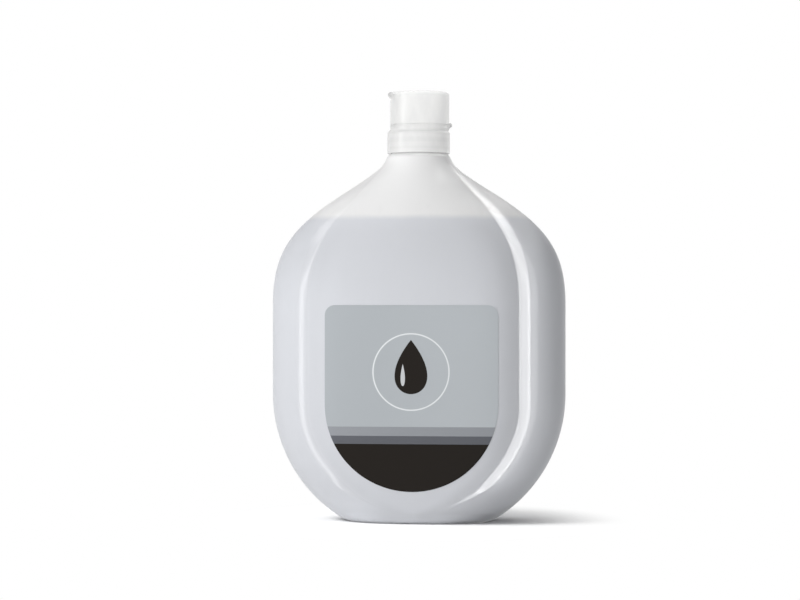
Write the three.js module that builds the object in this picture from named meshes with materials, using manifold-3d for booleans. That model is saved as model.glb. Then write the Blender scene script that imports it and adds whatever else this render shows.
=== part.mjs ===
// Hand soap refill pack: a milky blow-moulded flask of soap gel with a press-on flip-top closure.
// Millimetres, +Z up. The origin is the middle of the base. The label faces -Y and the lid hinges at +X.

import * as THREE from "three";
import { mergeVertices } from "three/addons/utils/BufferGeometryUtils.js";
import Module from "manifold-3d";

// Flask: overall sizes, and the outline seen from the front
const BODY_WIDTH = 149.6;
const BODY_DEPTH = 61;
const SHOULDER_TOP = 185.5;
const SHOULDER_HEIGHT = 75.5;
const SHOULDER_RUN = 21.5;
const SHOULDER_DROP = 18.3;
const SHOULDER_PITCH = THREE.MathUtils.degToRad(32);
const SHOULDER_HANDLE = 33.5;
const SIDE_HANDLE = 27;
const FLARE_HANDLE = 25;
const FLARE_LEAN = THREE.MathUtils.degToRad(25);
const FLARE_END_HANDLE = 4.5;

// Flask: base
const BASE_LENGTH = 74.8;
const BASE_DEPTH = 45;
const BASE_EDGE_RADIUS = 2.2;
const HEEL_HEIGHT = 45;
const HEEL_POWER = 3;
const FOOT_WIDTH = 5;
const PUSH_UP = 1.5;
const PUSH_UP_SLOPE = 3;

// Flask: front and back panels, each bounded by a crease
const PANEL_INSET = 20.5;
const PANEL_BOTTOM = 4.2;
const PANEL_CROWN = 2.4;
const PANEL_CURVE = 1.75;
const PANEL_END_HALF_WIDTH = 6;
const PANEL_SHOULDER_SPREAD = 0.22;
const PANEL_SPREAD_POWER = 4;
const SHOULDER_CROWN = 9;
const CREASE_ANGLE = THREE.MathUtils.degToRad(16);
const CREASE_FADE = 20;
const RIM_HANDLE = 0.5;
const SIDE_FULLNESS = 0.57;
const ROUNDING_START = 0.7;
const NECK_CREASE_ANGLE = THREE.MathUtils.degToRad(60);

// Flask: wall, neck and gel
const WALL = 1;
const NECK_RADIUS = 13.3;
const NECK_WALL = 2.1;
const NECK_EDGE = 0.4;
const NECK_ROOT = 6;
const NECK_LEDGE_RISE = 0.5;
const FILL_DROP = 31.4;

// Snap bead on the neck, its mate in the closure, and the keys that stop the closure turning
const BEAD_PROUD = 0.75;
const BEAD_FLAT = 0.6;
const BEAD_SLOPE = 0.8;
const NECK_BEAD_DROP = 2.2;
const CATCH_PROUD = 0.7;
const CATCH_GAP = 0.5;
const KEY_HEIGHT = 3;
const KEY_LIFT = 0.6;
const KEY_WIDTH = 1.3;
const KEY_ANGLE = THREE.MathUtils.degToRad(32);
const KEY_SPREAD = THREE.MathUtils.degToRad(10.5);

// Closure base
const SKIRT_GAP = 1.3;
const SKIRT_HEIGHT = 11.6;
const SKIRT_WALL = 1.5;
const SKIRT_STEP = 0.9;
const SKIRT_EDGE = 0.3;
const DECK = 1.1;
const COLLAR_HEIGHT = 2.85;
const COLLAR_SINK = 0.4;
const RIM_HEIGHT = 1.3;
const RIM_WALL = 1;
const SEAL_REACH = 3.6;
const SEAL_WALL = 1;
const SPOUT_BORE = 5;
const SPOUT_WALL = 1.65;
const SPOUT_EDGE = 0.5;
const SPOUT_HEADROOM = 4.8;

// Flip lid and its hinge
const LID_HEIGHT = 16.45;
const LID_OFFSET = 0.6;
const LID_WALL = 1.4;
const LID_ROOF = 1.4;
const LID_EDGE_RADIUS = 1.1;
const PLUG_REACH = 1.2;
const PLUG_TAPER = 0.65;
const PLUG_WALL = 1;
const LIP_PROUD = 1.2;
const LIP_HEIGHT = 3;
const LIP_TOP_DROP = 0.6;
const LIP_WIDTH = 13;
const HINGE_PROUD = 1;
const HINGE_WIDTH = 10;
const HINGE_HEIGHT = 2;
const HINGE_TIP = 0.5;

// Front label: its margins to the crease, to the top of the straight sides and to the panel's lower end
const LABEL_MARGIN = 11;
const LABEL_TOP_MARGIN = 0.3;
const LABEL_FOOT_MARGIN = 12.5;
const LABEL_CORNER = 5;
const LABEL_THICKNESS = 0.25;

// Clearances: between pieces that meet, and how far joined shapes run into each other
const FIT_GAP = 0.3;
const BEAD_GAP = 0.4;
const JOIN = 0.3;

// Mesh fineness
const PANEL_STEPS = 5;
const RIM_STEPS = 6;
const OUTLINE_STEPS = 6;
const EDGE_STEPS = 3;
const TURN_STEPS = 40;
const LABEL_COLUMNS = 8;
const LABEL_ROWS = 10;
const LABEL_ARC_STEPS = 12;
const WELD = 1e-4;

// Finishes, as colour and roughness
const MILKY_PLASTIC = { color: 0xe6e7ea, roughness: 0.4, metalness: 0 };
const SOAP_GEL = { color: 0xcfd0d8, roughness: 0.2, metalness: 0 };
const LABEL_FILM = { color: 0xb4b9bd, roughness: 0.35, metalness: 0 };
const CLOSURE_PLASTIC = { color: 0xebebec, roughness: 0.35, metalness: 0 };

// Sizes that follow from the ones above
const halfWidth = BODY_WIDTH / 2;
const halfDepth = BODY_DEPTH / 2;
const panelHalfWidth = halfWidth - PANEL_INSET;
const heelCentre = Math.sqrt(halfWidth ** 2 - (BASE_LENGTH / 2) ** 2);
const sideTop = SHOULDER_TOP - SHOULDER_HEIGHT;
const fillLevel = SHOULDER_TOP - FILL_DROP;
const skirtBore = NECK_RADIUS + BEAD_PROUD + BEAD_GAP;
const skirtRadius = skirtBore + SKIRT_WALL;
const neckBore = NECK_RADIUS - NECK_WALL;
const closureBottom = SHOULDER_TOP + SKIRT_GAP;
const deckBottom = SKIRT_HEIGHT - DECK;
const neckTop = closureBottom + deckBottom - FIT_GAP;
const neckBeadTop = neckTop - NECK_BEAD_DROP + BEAD_SLOPE;
const neckBeadBottom = neckBeadTop - 2 * BEAD_SLOPE - BEAD_FLAT;
const parting = SKIRT_HEIGHT + COLLAR_HEIGHT;
const lidBottom = parting + FIT_GAP;
const lidTop = lidBottom + LID_HEIGHT;
const lidRadius = skirtRadius - SKIRT_STEP;
const lidBore = lidRadius - LID_WALL;
const roofBottom = lidTop - LID_ROOF;
const spoutTop = roofBottom - SPOUT_HEADROOM;
const spoutRadius = SPOUT_BORE + SPOUT_WALL;
const rimRadius = lidBore - FIT_GAP;
const hingeWall = LID_OFFSET + lidRadius;
const labelHalf = panelHalfWidth - LABEL_MARGIN;
const labelTop = sideTop - LABEL_TOP_MARGIN;
const labelBottom = PANEL_BOTTOM + LABEL_FOOT_MARGIN;

const wasm = await Module();
wasm.setup();

// Turns a closed geometry into a solid that can be joined and cut.
function solidOf(geometry) {
  geometry.deleteAttribute("normal");
  geometry.deleteAttribute("uv");
  const welded = mergeVertices(geometry, WELD);
  return new wasm.Manifold(new wasm.Mesh({
    numProp: 3,
    vertProperties: new Float32Array(welded.attributes.position.array),
    triVerts: new Uint32Array(welded.index.array),
  }));
}

// Turns a solid back into a geometry.
function geometryOf(solid) {
  const mesh = solid.getMesh();
  const geometry = new THREE.BufferGeometry();
  geometry.setAttribute("position", new THREE.BufferAttribute(mesh.vertProperties, 3));
  geometry.setIndex(new THREE.BufferAttribute(mesh.triVerts, 1));
  geometry.computeVertexNormals();
  return geometry;
}

// Revolves a profile of [radius, height] points about an upright axis at the given x.
function turned(profile, axisX = 0) {
  const points = profile.map(([radius, height]) => new THREE.Vector2(radius, height));
  const geometry = new THREE.LatheGeometry(points, TURN_STEPS);
  geometry.rotateX(Math.PI / 2);
  geometry.translate(axisX, 0, 0);
  return solidOf(geometry);
}

// Revolves a ring whose profile closes on itself.
function turnedRing(profile, axisX = 0) {
  return turned([...profile, profile[0]], axisX);
}

// Extrudes an outline drawn in x and z along Y, centred on the middle plane.
function prism(points, width) {
  const shape = new THREE.Shape(points.map(([x, z]) => new THREE.Vector2(x, z)));
  const geometry = new THREE.ExtrudeGeometry(shape, { depth: width, bevelEnabled: false });
  geometry.rotateX(Math.PI / 2);
  geometry.translate(0, width / 2, 0);
  return solidOf(geometry);
}

// An upright key between two radii. Its angle runs from the front (-Y) towards +X.
function key(innerRadius, outerRadius, bottom, angle) {
  const geometry = new THREE.BoxGeometry(KEY_WIDTH, outerRadius - innerRadius, KEY_HEIGHT);
  geometry.translate(0, -(innerRadius + outerRadius) / 2, bottom + KEY_HEIGHT / 2);
  geometry.rotateZ(angle);
  return solidOf(geometry);
}

// Half the flask's depth on its middle line: narrowing to the foot, and to the round neck.
function depthAt(z) {
  const heel = Math.max(0, 1 - z / HEEL_HEIGHT) ** HEEL_POWER;
  const rise = THREE.MathUtils.smoothstep(z, sideTop, SHOULDER_TOP);
  const belly = halfDepth - (halfDepth - BASE_DEPTH / 2) * heel;
  return THREE.MathUtils.lerp(belly, skirtRadius, rise);
}

// Half the panel's width, from its middle line to the crease.
function creaseAt(width, z, rise) {
  const depth = THREE.MathUtils.clamp((heelCentre - z) / (heelCentre - PANEL_BOTTOM), 0, 1);
  const bowl = (1 - depth ** PANEL_CURVE) ** (1 / PANEL_CURVE);
  const share = panelHalfWidth / halfWidth + PANEL_SHOULDER_SPREAD * rise ** PANEL_SPREAD_POWER;
  const upper = width * share;
  return z < heelCentre ? Math.max(PANEL_END_HALF_WIDTH, panelHalfWidth * bowl) : upper;
}

// How far the panel falls from its middle line to its crease.
function crownAt(creaseX, rise) {
  return PANEL_CROWN * (creaseX / panelHalfWidth) ** 2 + SHOULDER_CROWN * rise ** 2;
}

// A quarter of the level section: panel, crease and rounded side, turning into an ellipse at the neck.
function quarterSection(width, z) {
  const depth = depthAt(z);
  const rise = THREE.MathUtils.clamp((z - sideTop) / SHOULDER_HEIGHT, 0, 1);
  const creaseX = creaseAt(width, z, rise);
  const crown = crownAt(creaseX, rise);
  const crease = new THREE.Vector2(creaseX, depth - crown);
  const fade = THREE.MathUtils.clamp((z - PANEL_BOTTOM) / CREASE_FADE, 0, 1);
  const fall = Math.atan2(2 * crown, creaseX) + CREASE_ANGLE * fade;
  const reach = (width - creaseX) * RIM_HANDLE;
  const rim = new THREE.CubicBezierCurve(
    crease,
    new THREE.Vector2(creaseX + reach * Math.cos(fall), crease.y - reach * Math.sin(fall)),
    new THREE.Vector2(width, crease.y * SIDE_FULLNESS),
    new THREE.Vector2(width, 0),
  );
  const round = THREE.MathUtils.smoothstep(rise, ROUNDING_START, 1);
  const points = [];
  for (let step = 0; step <= PANEL_STEPS + RIM_STEPS; step += 1) {
    const across = Math.min(1, step / PANEL_STEPS);
    const along = Math.max(0, (step - PANEL_STEPS) / RIM_STEPS);
    const point = new THREE.Vector2(creaseX * across, depth - crown * across ** 2);
    if (along > 0) {
      rim.getPoint(along, point);
    }
    const angle = NECK_CREASE_ANGLE * across + (Math.PI / 2 - NECK_CREASE_ANGLE) * along;
    point.lerp(new THREE.Vector2(width * Math.sin(angle), depth * Math.cos(angle)), round);
    points.push(point);
  }
  return points;
}

// A full ring of points around the flask. The inset shrinks it, and the lift sets its height.
function ringAt(width, z, inset = 0, lift = z) {
  const depth = depthAt(z);
  const scale = new THREE.Vector2((width - inset) / width, (depth - inset) / depth);
  const quarter = quarterSection(width, z).map((point) => point.multiply(scale));
  const last = quarter.length - 1;
  const corners = [[1, 1, -1], [-1, 1, 1], [-1, -1, -1], [1, -1, 1]];
  const ring = [];
  for (const [signX, signY, order] of corners) {
    for (let step = 0; step < last; step += 1) {
      const point = quarter[order > 0 ? step : last - step];
      ring.push(new THREE.Vector3(signX * point.x, signY * point.y, lift));
    }
  }
  return ring;
}

// A circle whose points lie at the same angles as those of a ring.
function circleLike(ring, radius, z) {
  return ring.map((point) => {
    const scale = radius / Math.hypot(point.x, point.y);
    return new THREE.Vector3(point.x * scale, point.y * scale, z);
  });
}

// Half-width of the round lower outline at a height.
function heelWidth(z) {
  return Math.sqrt(halfWidth ** 2 - (heelCentre - z) ** 2);
}

// Rings of the flask's outside, from the push-up under the base to the top of the shoulder.
function flaskRings() {
  const rings = [];
  const footInset = BASE_EDGE_RADIUS + FOOT_WIDTH;
  rings.push(ringAt(heelWidth(0), 0, footInset + PUSH_UP_SLOPE, PUSH_UP));
  rings.push(ringAt(heelWidth(0), 0, footInset));
  for (let step = 0; step < EDGE_STEPS; step += 1) {
    const turn = (Math.PI / 2) * (step / EDGE_STEPS);
    const z = BASE_EDGE_RADIUS * (1 - Math.cos(turn));
    rings.push(ringAt(heelWidth(z), z, BASE_EDGE_RADIUS * (1 - Math.sin(turn))));
  }
  const heelStart = -Math.asin((heelCentre - BASE_EDGE_RADIUS) / halfWidth);
  const shoulder = new THREE.Vector2(skirtRadius + SHOULDER_RUN, SHOULDER_TOP - SHOULDER_DROP);
  const pitch = new THREE.Vector2(Math.cos(SHOULDER_PITCH), -Math.sin(SHOULDER_PITCH));
  const lower = shoulder.clone().addScaledVector(pitch, SHOULDER_HANDLE);
  const upper = shoulder.clone().addScaledVector(pitch, -FLARE_HANDLE);
  const flareX = skirtRadius + FLARE_END_HANDLE * Math.sin(FLARE_LEAN);
  const flareZ = SHOULDER_TOP - FLARE_END_HANDLE * Math.cos(FLARE_LEAN);
  const outline = new THREE.Path();
  outline.absarc(0, heelCentre, halfWidth, heelStart, 0, false);
  outline.lineTo(halfWidth, sideTop);
  outline.bezierCurveTo(halfWidth, sideTop + SIDE_HANDLE, lower.x, lower.y, shoulder.x, shoulder.y);
  outline.bezierCurveTo(upper.x, upper.y, flareX, flareZ, skirtRadius, SHOULDER_TOP);
  for (const point of outline.getPoints(OUTLINE_STEPS)) {
    rings.push(ringAt(point.x, point.y));
  }
  return rings;
}

// Moves rings inwards along their surface normals. The pole is the middle of the base.
function insetRings(rings, pole, distance) {
  return rings.map((ring, row) => ring.map((point, index) => {
    const before = ring[(index + ring.length - 1) % ring.length];
    const after = ring[(index + 1) % ring.length];
    const below = row > 0 ? rings[row - 1][index] : pole;
    const above = row < rings.length - 1 ? rings[row + 1][index] : point;
    const along = new THREE.Vector3().subVectors(after, before);
    const up = new THREE.Vector3().subVectors(above, below);
    const normal = along.cross(up).normalize();
    return point.clone().addScaledVector(normal, -distance);
  }));
}

// Joins rings into a closed skin that ends in a point at each end.
function skin(rings, firstPole, lastPole) {
  const count = rings[0].length;
  const vertices = [firstPole, ...rings.flat(), lastPole];
  const lastIndex = vertices.length - 1;
  const faces = [];
  for (let index = 0; index < count; index += 1) {
    const next = (index + 1) % count;
    const end = 1 + (rings.length - 1) * count;
    faces.push(0, 1 + next, 1 + index);
    faces.push(lastIndex, end + index, end + next);
    for (let row = 0; row < rings.length - 1; row += 1) {
      const start = 1 + row * count;
      faces.push(start + index, start + next, start + count + next);
      faces.push(start + index, start + count + next, start + count + index);
    }
  }
  const geometry = new THREE.BufferGeometry().setFromPoints(vertices);
  geometry.setIndex(faces);
  return geometry;
}

// Profile of the neck's outside, mouth and bore, from the shoulder's ledge up and back down.
function neckProfile() {
  const beadRadius = NECK_RADIUS + BEAD_PROUD;
  return [
    [NECK_RADIUS, SHOULDER_TOP + NECK_LEDGE_RISE],
    [NECK_RADIUS, neckBeadBottom],
    [beadRadius, neckBeadBottom + BEAD_SLOPE],
    [beadRadius, neckBeadTop - BEAD_SLOPE],
    [NECK_RADIUS, neckBeadTop],
    [NECK_RADIUS, neckTop - NECK_EDGE],
    [NECK_RADIUS - NECK_EDGE, neckTop],
    [neckBore + NECK_EDGE, neckTop],
    [neckBore, neckTop - NECK_EDGE],
    [neckBore, SHOULDER_TOP - FLARE_END_HANDLE],
  ];
}

const basePole = new THREE.Vector3(0, 0, PUSH_UP);
const rings = flaskRings();

// One blown shell, open at the mouth, with keys on the neck
function makeBottle() {
  const topRing = rings[rings.length - 1];
  const neck = neckProfile().map(([radius, z]) => circleLike(topRing, radius, z));
  const inside = insetRings(rings, basePole, WALL)
    .filter((ring, row) => rings[row][0].z < SHOULDER_TOP - NECK_ROOT)
    .reverse();
  const innerPole = new THREE.Vector3(0, 0, PUSH_UP + WALL);
  let shell = solidOf(skin([...rings, ...neck, ...inside], basePole, innerPole));
  for (const side of [0, Math.PI]) {
    for (const spread of [-KEY_SPREAD, KEY_SPREAD]) {
      const bottom = closureBottom + KEY_LIFT;
      const angle = KEY_ANGLE + side + spread;
      shell = shell.add(key(NECK_RADIUS - JOIN, NECK_RADIUS + BEAD_PROUD, bottom, angle));
    }
  }
  return geometryOf(shell);
}

// The gel fills the inside up to its level
function makeGel() {
  const inside = insetRings(rings, basePole, WALL + FIT_GAP);
  const bottom = new THREE.Vector3(0, 0, PUSH_UP + WALL + FIT_GAP);
  const top = new THREE.Vector3(0, 0, SHOULDER_TOP);
  const whole = solidOf(skin(inside, bottom, top));
  const below = new THREE.BoxGeometry(BODY_WIDTH, BODY_DEPTH, fillLevel);
  below.translate(0, 0, fillLevel / 2);
  return geometryOf(whole.intersect(solidOf(below)));
}

// Distance of the panel's face from the middle plane, inside its crease
function panelFace(x, z) {
  return depthAt(z) - PANEL_CROWN * (x / panelHalfWidth) ** 2;
}

// One side of the label's sheet, as rows of points at a distance from the panel
function labelSide(distance) {
  const side = [];
  const edge = labelHalf + JOIN;
  for (let row = 0; row <= LABEL_ROWS; row += 1) {
    const z = THREE.MathUtils.lerp(labelBottom - JOIN, labelTop + JOIN, row / LABEL_ROWS);
    for (let column = 0; column <= LABEL_COLUMNS; column += 1) {
      const x = THREE.MathUtils.lerp(-edge, edge, column / LABEL_COLUMNS);
      side.push(new THREE.Vector3(x, -panelFace(x, z) - distance, z));
    }
  }
  return side;
}

// A closed sheet that follows the front panel, larger than the label
function labelSheet() {
  const columns = LABEL_COLUMNS + 1;
  const back = columns * (LABEL_ROWS + 1);
  const vertices = [...labelSide(FIT_GAP + LABEL_THICKNESS), ...labelSide(FIT_GAP)];
  const faces = [];
  const quad = (a, b, c, d) => faces.push(a, b, c, a, c, d);
  for (let row = 0; row < LABEL_ROWS; row += 1) {
    const left = row * columns;
    const right = left + LABEL_COLUMNS;
    quad(left, left + columns, back + left + columns, back + left);
    quad(right, back + right, back + right + columns, right + columns);
    for (let column = 0; column < LABEL_COLUMNS; column += 1) {
      const at = left + column;
      quad(at, at + 1, at + 1 + columns, at + columns);
      quad(back + at, back + at + columns, back + at + 1 + columns, back + at + 1);
    }
  }
  for (let column = 0; column < LABEL_COLUMNS; column += 1) {
    const top = LABEL_ROWS * columns + column;
    quad(column, back + column, back + column + 1, column + 1);
    quad(top, top + 1, back + top + 1, back + top);
  }
  const geometry = new THREE.BufferGeometry().setFromPoints(vertices);
  geometry.setIndex(faces);
  return solidOf(geometry);
}

// Film label: round at the bottom, with small round corners at the top
function makeLabel() {
  const cornerX = labelHalf - LABEL_CORNER;
  const cornerZ = labelTop - LABEL_CORNER;
  const outline = new THREE.Shape();
  outline.absarc(0, labelBottom + labelHalf, labelHalf, Math.PI, 2 * Math.PI, false);
  outline.absarc(cornerX, cornerZ, LABEL_CORNER, 0, Math.PI / 2, false);
  outline.absarc(-cornerX, cornerZ, LABEL_CORNER, Math.PI / 2, Math.PI, false);
  const options = { depth: BODY_DEPTH, bevelEnabled: false, curveSegments: LABEL_ARC_STEPS };
  const cutter = new THREE.ExtrudeGeometry(outline, options);
  cutter.rotateX(Math.PI / 2);
  return geometryOf(labelSheet().intersect(solidOf(cutter)));
}

// Wedge that carries one half of the living hinge, with its tip at the hinge line
function hingeWedge(level, direction) {
  const root = hingeWall - LID_WALL + JOIN;
  const tip = hingeWall + HINGE_PROUD;
  return prism([
    [root, level],
    [tip, level],
    [tip, level + direction * HINGE_TIP],
    [root, level + direction * HINGE_HEIGHT],
  ], HINGE_WIDTH);
}

// Skirt, deck, pour spout and seal ring in one moulding, with an offset collar for the lid
function makeClosureBase() {
  const sealRadius = neckBore - FIT_GAP;
  const catchTop = neckBeadBottom - closureBottom - CATCH_GAP;
  const catchRadius = skirtBore - CATCH_PROUD;
  const sealBottom = deckBottom - SEAL_REACH;
  let base = turnedRing([
    [skirtBore, 0],
    [skirtRadius - SKIRT_EDGE, 0],
    [skirtRadius, SKIRT_EDGE],
    [skirtRadius, SKIRT_HEIGHT - SKIRT_STEP],
    [skirtRadius - SKIRT_STEP, SKIRT_HEIGHT],
    [spoutRadius, SKIRT_HEIGHT],
    [spoutRadius, spoutTop - SPOUT_EDGE],
    [spoutRadius - SPOUT_EDGE, spoutTop],
    [SPOUT_BORE + SPOUT_EDGE, spoutTop],
    [SPOUT_BORE, spoutTop - SPOUT_EDGE],
    [SPOUT_BORE, deckBottom],
    [sealRadius - SEAL_WALL, deckBottom],
    [sealRadius - SEAL_WALL, sealBottom],
    [sealRadius - SKIRT_EDGE, sealBottom],
    [sealRadius, sealBottom + SKIRT_EDGE],
    [sealRadius, deckBottom],
    [skirtBore, deckBottom],
    [skirtBore, catchTop],
    [catchRadius, catchTop - CATCH_PROUD],
    [skirtBore, catchTop - 2 * CATCH_PROUD],
  ]);
  base = base.add(turnedRing([
    [rimRadius - RIM_WALL, SKIRT_HEIGHT - COLLAR_SINK],
    [lidRadius, SKIRT_HEIGHT - COLLAR_SINK],
    [lidRadius, parting],
    [rimRadius, parting],
    [rimRadius, parting + RIM_HEIGHT],
    [rimRadius - RIM_WALL, parting + RIM_HEIGHT],
  ], LID_OFFSET));
  for (const side of [0, Math.PI]) {
    base = base.add(key(skirtBore - CATCH_PROUD, skirtBore + JOIN, KEY_LIFT, KEY_ANGLE + side));
  }
  return geometryOf(base.add(hingeWedge(parting, -1)));
}

// Thumb lip: a short stretch of a bevelled ring at the top of the lid, opposite the hinge
function thumbLip() {
  const top = lidTop - LIP_TOP_DROP;
  const ring = turnedRing([
    [lidRadius - JOIN, top - LIP_HEIGHT],
    [lidRadius + LIP_PROUD, top - LIP_PROUD],
    [lidRadius + LIP_PROUD, top - LIP_TOP_DROP],
    [lidRadius + LIP_PROUD - LIP_TOP_DROP, top],
    [lidRadius - JOIN, top],
  ], LID_OFFSET);
  const reach = 2 * lidRadius;
  return ring.intersect(prism([[-reach, 0], [0, 0], [0, lidTop], [-reach, lidTop]], LIP_WIDTH));
}

// Cup with a rounded top edge, the plug that shuts the spout, the thumb lip and its half of the hinge
function makeFlipLid() {
  const profile = [
    [0, roofBottom],
    [lidBore, roofBottom],
    [lidBore, lidBottom],
    [lidRadius, lidBottom],
  ];
  for (let step = 0; step <= EDGE_STEPS; step += 1) {
    const turn = (Math.PI / 2) * (step / EDGE_STEPS);
    profile.push([
      lidRadius - LID_EDGE_RADIUS * (1 - Math.cos(turn)),
      lidTop - LID_EDGE_RADIUS * (1 - Math.sin(turn)),
    ]);
  }
  profile.push([0, lidTop]);
  const plugRadius = SPOUT_BORE - FIT_GAP;
  const plugTip = spoutTop - PLUG_REACH;
  const plug = turnedRing([
    [plugRadius - PLUG_WALL, plugTip],
    [plugRadius - PLUG_TAPER, plugTip],
    [plugRadius, plugTip + PLUG_REACH],
    [plugRadius, roofBottom + JOIN],
    [plugRadius - PLUG_WALL, roofBottom + JOIN],
  ]);
  const cup = turned(profile, LID_OFFSET);
  return geometryOf(cup.add(plug).add(thumbLip()).add(hingeWedge(lidBottom, 1)));
}

// Adds a named piece with its own finish to a group.
function addPiece(group, name, geometry, finish) {
  const mesh = new THREE.Mesh(geometry, new THREE.MeshStandardMaterial(finish));
  mesh.name = name;
  group.add(mesh);
}

const pack = new THREE.Group();
addPiece(pack, "bottle", makeBottle(), MILKY_PLASTIC);
addPiece(pack, "soap_gel", makeGel(), SOAP_GEL);
addPiece(pack, "front_label", makeLabel(), LABEL_FILM);

const closure = new THREE.Group();
closure.position.z = closureBottom;
addPiece(closure, "closure_base", makeClosureBase(), CLOSURE_PLASTIC);
addPiece(closure, "flip_lid", makeFlipLid(), CLOSURE_PLASTIC);
pack.add(closure);

export default pack;
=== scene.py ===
"""Hand soap refill pack: the dressed visual model of a milky flask of gel with a flip-top closure.

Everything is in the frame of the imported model. The pieces' sizes are in millimetres. Their finishes, the
studio and the finished meshes are in metres. The label faces -Y, the lid hinges at +X and the
flask stands on the plane z = 0.
"""

import logging
import math
from dataclasses import dataclass
from enum import Enum
from typing import Any, Callable, Optional, Sequence, Union

import bpy
import numpy as np
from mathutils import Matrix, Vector


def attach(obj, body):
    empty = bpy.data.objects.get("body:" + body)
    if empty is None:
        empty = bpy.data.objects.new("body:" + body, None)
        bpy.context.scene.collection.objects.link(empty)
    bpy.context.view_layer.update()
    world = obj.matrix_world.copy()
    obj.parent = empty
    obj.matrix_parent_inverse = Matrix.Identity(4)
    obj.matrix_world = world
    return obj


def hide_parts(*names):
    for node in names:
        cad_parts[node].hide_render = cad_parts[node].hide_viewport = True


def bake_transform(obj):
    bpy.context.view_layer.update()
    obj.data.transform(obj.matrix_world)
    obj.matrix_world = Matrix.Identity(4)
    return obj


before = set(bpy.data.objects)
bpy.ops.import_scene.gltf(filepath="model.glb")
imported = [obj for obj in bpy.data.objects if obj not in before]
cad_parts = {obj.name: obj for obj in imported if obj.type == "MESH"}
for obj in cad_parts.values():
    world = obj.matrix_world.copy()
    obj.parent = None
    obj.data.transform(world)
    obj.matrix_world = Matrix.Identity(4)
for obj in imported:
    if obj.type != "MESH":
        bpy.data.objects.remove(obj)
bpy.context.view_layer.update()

log = logging.getLogger("refill_pack")

MM = 0.001
CREASE_GAP = "crease_gap"
RIGHT_HALF = (-0.005, 0.005)
NOISE_MIDDLE = 0.5
NOISE_ROUGHNESS = 0.55
EVEN_RADIUS = (1.0, 1.0, 1.0)
WHITE = (1.0, 1.0, 1.0)
DROP_WIDEST = 0.3849
ROUNDING_LIMIT = 0.42
LEAD_SHARE = 1.18
CLOSE_SHARE = 0.3
TINY = 1e-9
Number = Union[float, "Value"]
Span = tuple[float, float]
Triple = tuple[float, float, float]
Colour = Triple
Skin = tuple[np.ndarray, list[np.ndarray]]


class Slot(Enum):
    """The record's material slots."""

    MILKY_PLASTIC = "milky_plastic"
    SOAP_GEL = "soap_gel"
    LABEL_FILM = "label_film"
    CLOSURE_PLASTIC = "closure_plastic"


class Body(Enum):
    """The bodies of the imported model."""

    PACK = "pack"
    LID = "lid"


class Rays(Enum):
    """Which rays see a lamp of the studio."""

    MATT_ONLY = "matt only"
    GLOSS_ONLY = "gloss only"


class Lit(Enum):
    """What a lamp of the studio lights."""

    PACK = "whole pack"
    FLASK = "flask"
    CLOSURE = "closure"
    FLOOR = "floor"


def srgb(red: float, green: float, blue: float) -> Colour:
    """Linear colour of an sRGB colour.

    Args:
        red: Red, 0 to 255.
        green: Green, 0 to 255.
        blue: Blue, 0 to 255.

    Returns:
        The colour as three linear numbers.
    """
    c = np.array([red, green, blue]) / 255.0
    linear = np.where(c <= 0.04045, c / 12.92, ((c + 0.055) / 1.055) ** 2.4)
    return tuple(float(v) for v in linear)


def smoothstep(value: np.ndarray, low: float, high: float) -> np.ndarray:
    """0 below low, 1 above high, and 3t^2 - 2t^3 of the share t between them."""
    share = np.clip((value - low) / (high - low), 0.0, 1.0)
    return share * share * (3.0 - 2.0 * share)


def band(value: np.ndarray, half: float, soft: float) -> np.ndarray:
    """1 where a value without its sign is under a half-width and 0 over it, softened on both sides of it."""
    return smoothstep(-np.abs(value), -half - soft, -half + soft)


def bezier(share: np.ndarray, *points: np.ndarray) -> np.ndarray:
    """Point on a Bezier curve, by repeated linear mixing of its control points.

    Args:
        share: Shares along the curve, 0 to 1, broadcast against the control points.
        points: Control points, as arrays whose last axis holds the coordinates.

    Returns:
        The points of the curve.
    """
    level = list(points)
    while len(level) > 1:
        level = [a + (b - a) * share for a, b in zip(level, level[1:])]
    return level[0]


class Value:
    """A number socket of a node tree, on which Python's operators add Math nodes."""

    def __init__(self, bench: "Bench", socket: bpy.types.NodeSocket) -> None:
        """Keeps the socket and the bench that it belongs to."""
        self.bench = bench
        self.socket = socket

    def __add__(self, other: Number) -> "Value":
        """Sum of two values."""
        return self.bench.math("ADD", self, other)

    __radd__ = __add__

    def __sub__(self, other: Number) -> "Value":
        """This value less another."""
        return self.bench.math("SUBTRACT", self, other)

    def __rsub__(self, other: Number) -> "Value":
        """A number less this value."""
        return self.bench.math("SUBTRACT", other, self)

    def __mul__(self, other: Number) -> "Value":
        """Product of two values."""
        return self.bench.math("MULTIPLY", self, other)

    __rmul__ = __mul__

    def __truediv__(self, other: Number) -> "Value":
        """This value over another."""
        return self.bench.math("DIVIDE", self, other)

    def __pow__(self, other: Number) -> "Value":
        """This value to a power."""
        return self.bench.math("POWER", self, other)

    def __abs__(self) -> "Value":
        """This value without its sign."""
        return self.bench.math("ABSOLUTE", self)

    def above(self, low: float, high: float) -> "Value":
        """0 below low and 1 above high, with a smooth step between."""
        inputs = {"Value": self, "From Min": low, "From Max": high}
        return self.bench.node("ShaderNodeMapRange", {"interpolation_type": "SMOOTHSTEP"}, inputs)

    def below(self, low: float, high: float) -> "Value":
        """1 below low and 0 above high, with a smooth step between."""
        return 1.0 - self.above(low, high)

    def within(self, low: float, high: float, soft: float) -> "Value":
        """1 between two values and 0 outside them, each edge softened over a width."""
        half = soft / 2.0
        return self.above(low - half, low + half) * self.below(high - half, high + half)


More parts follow.
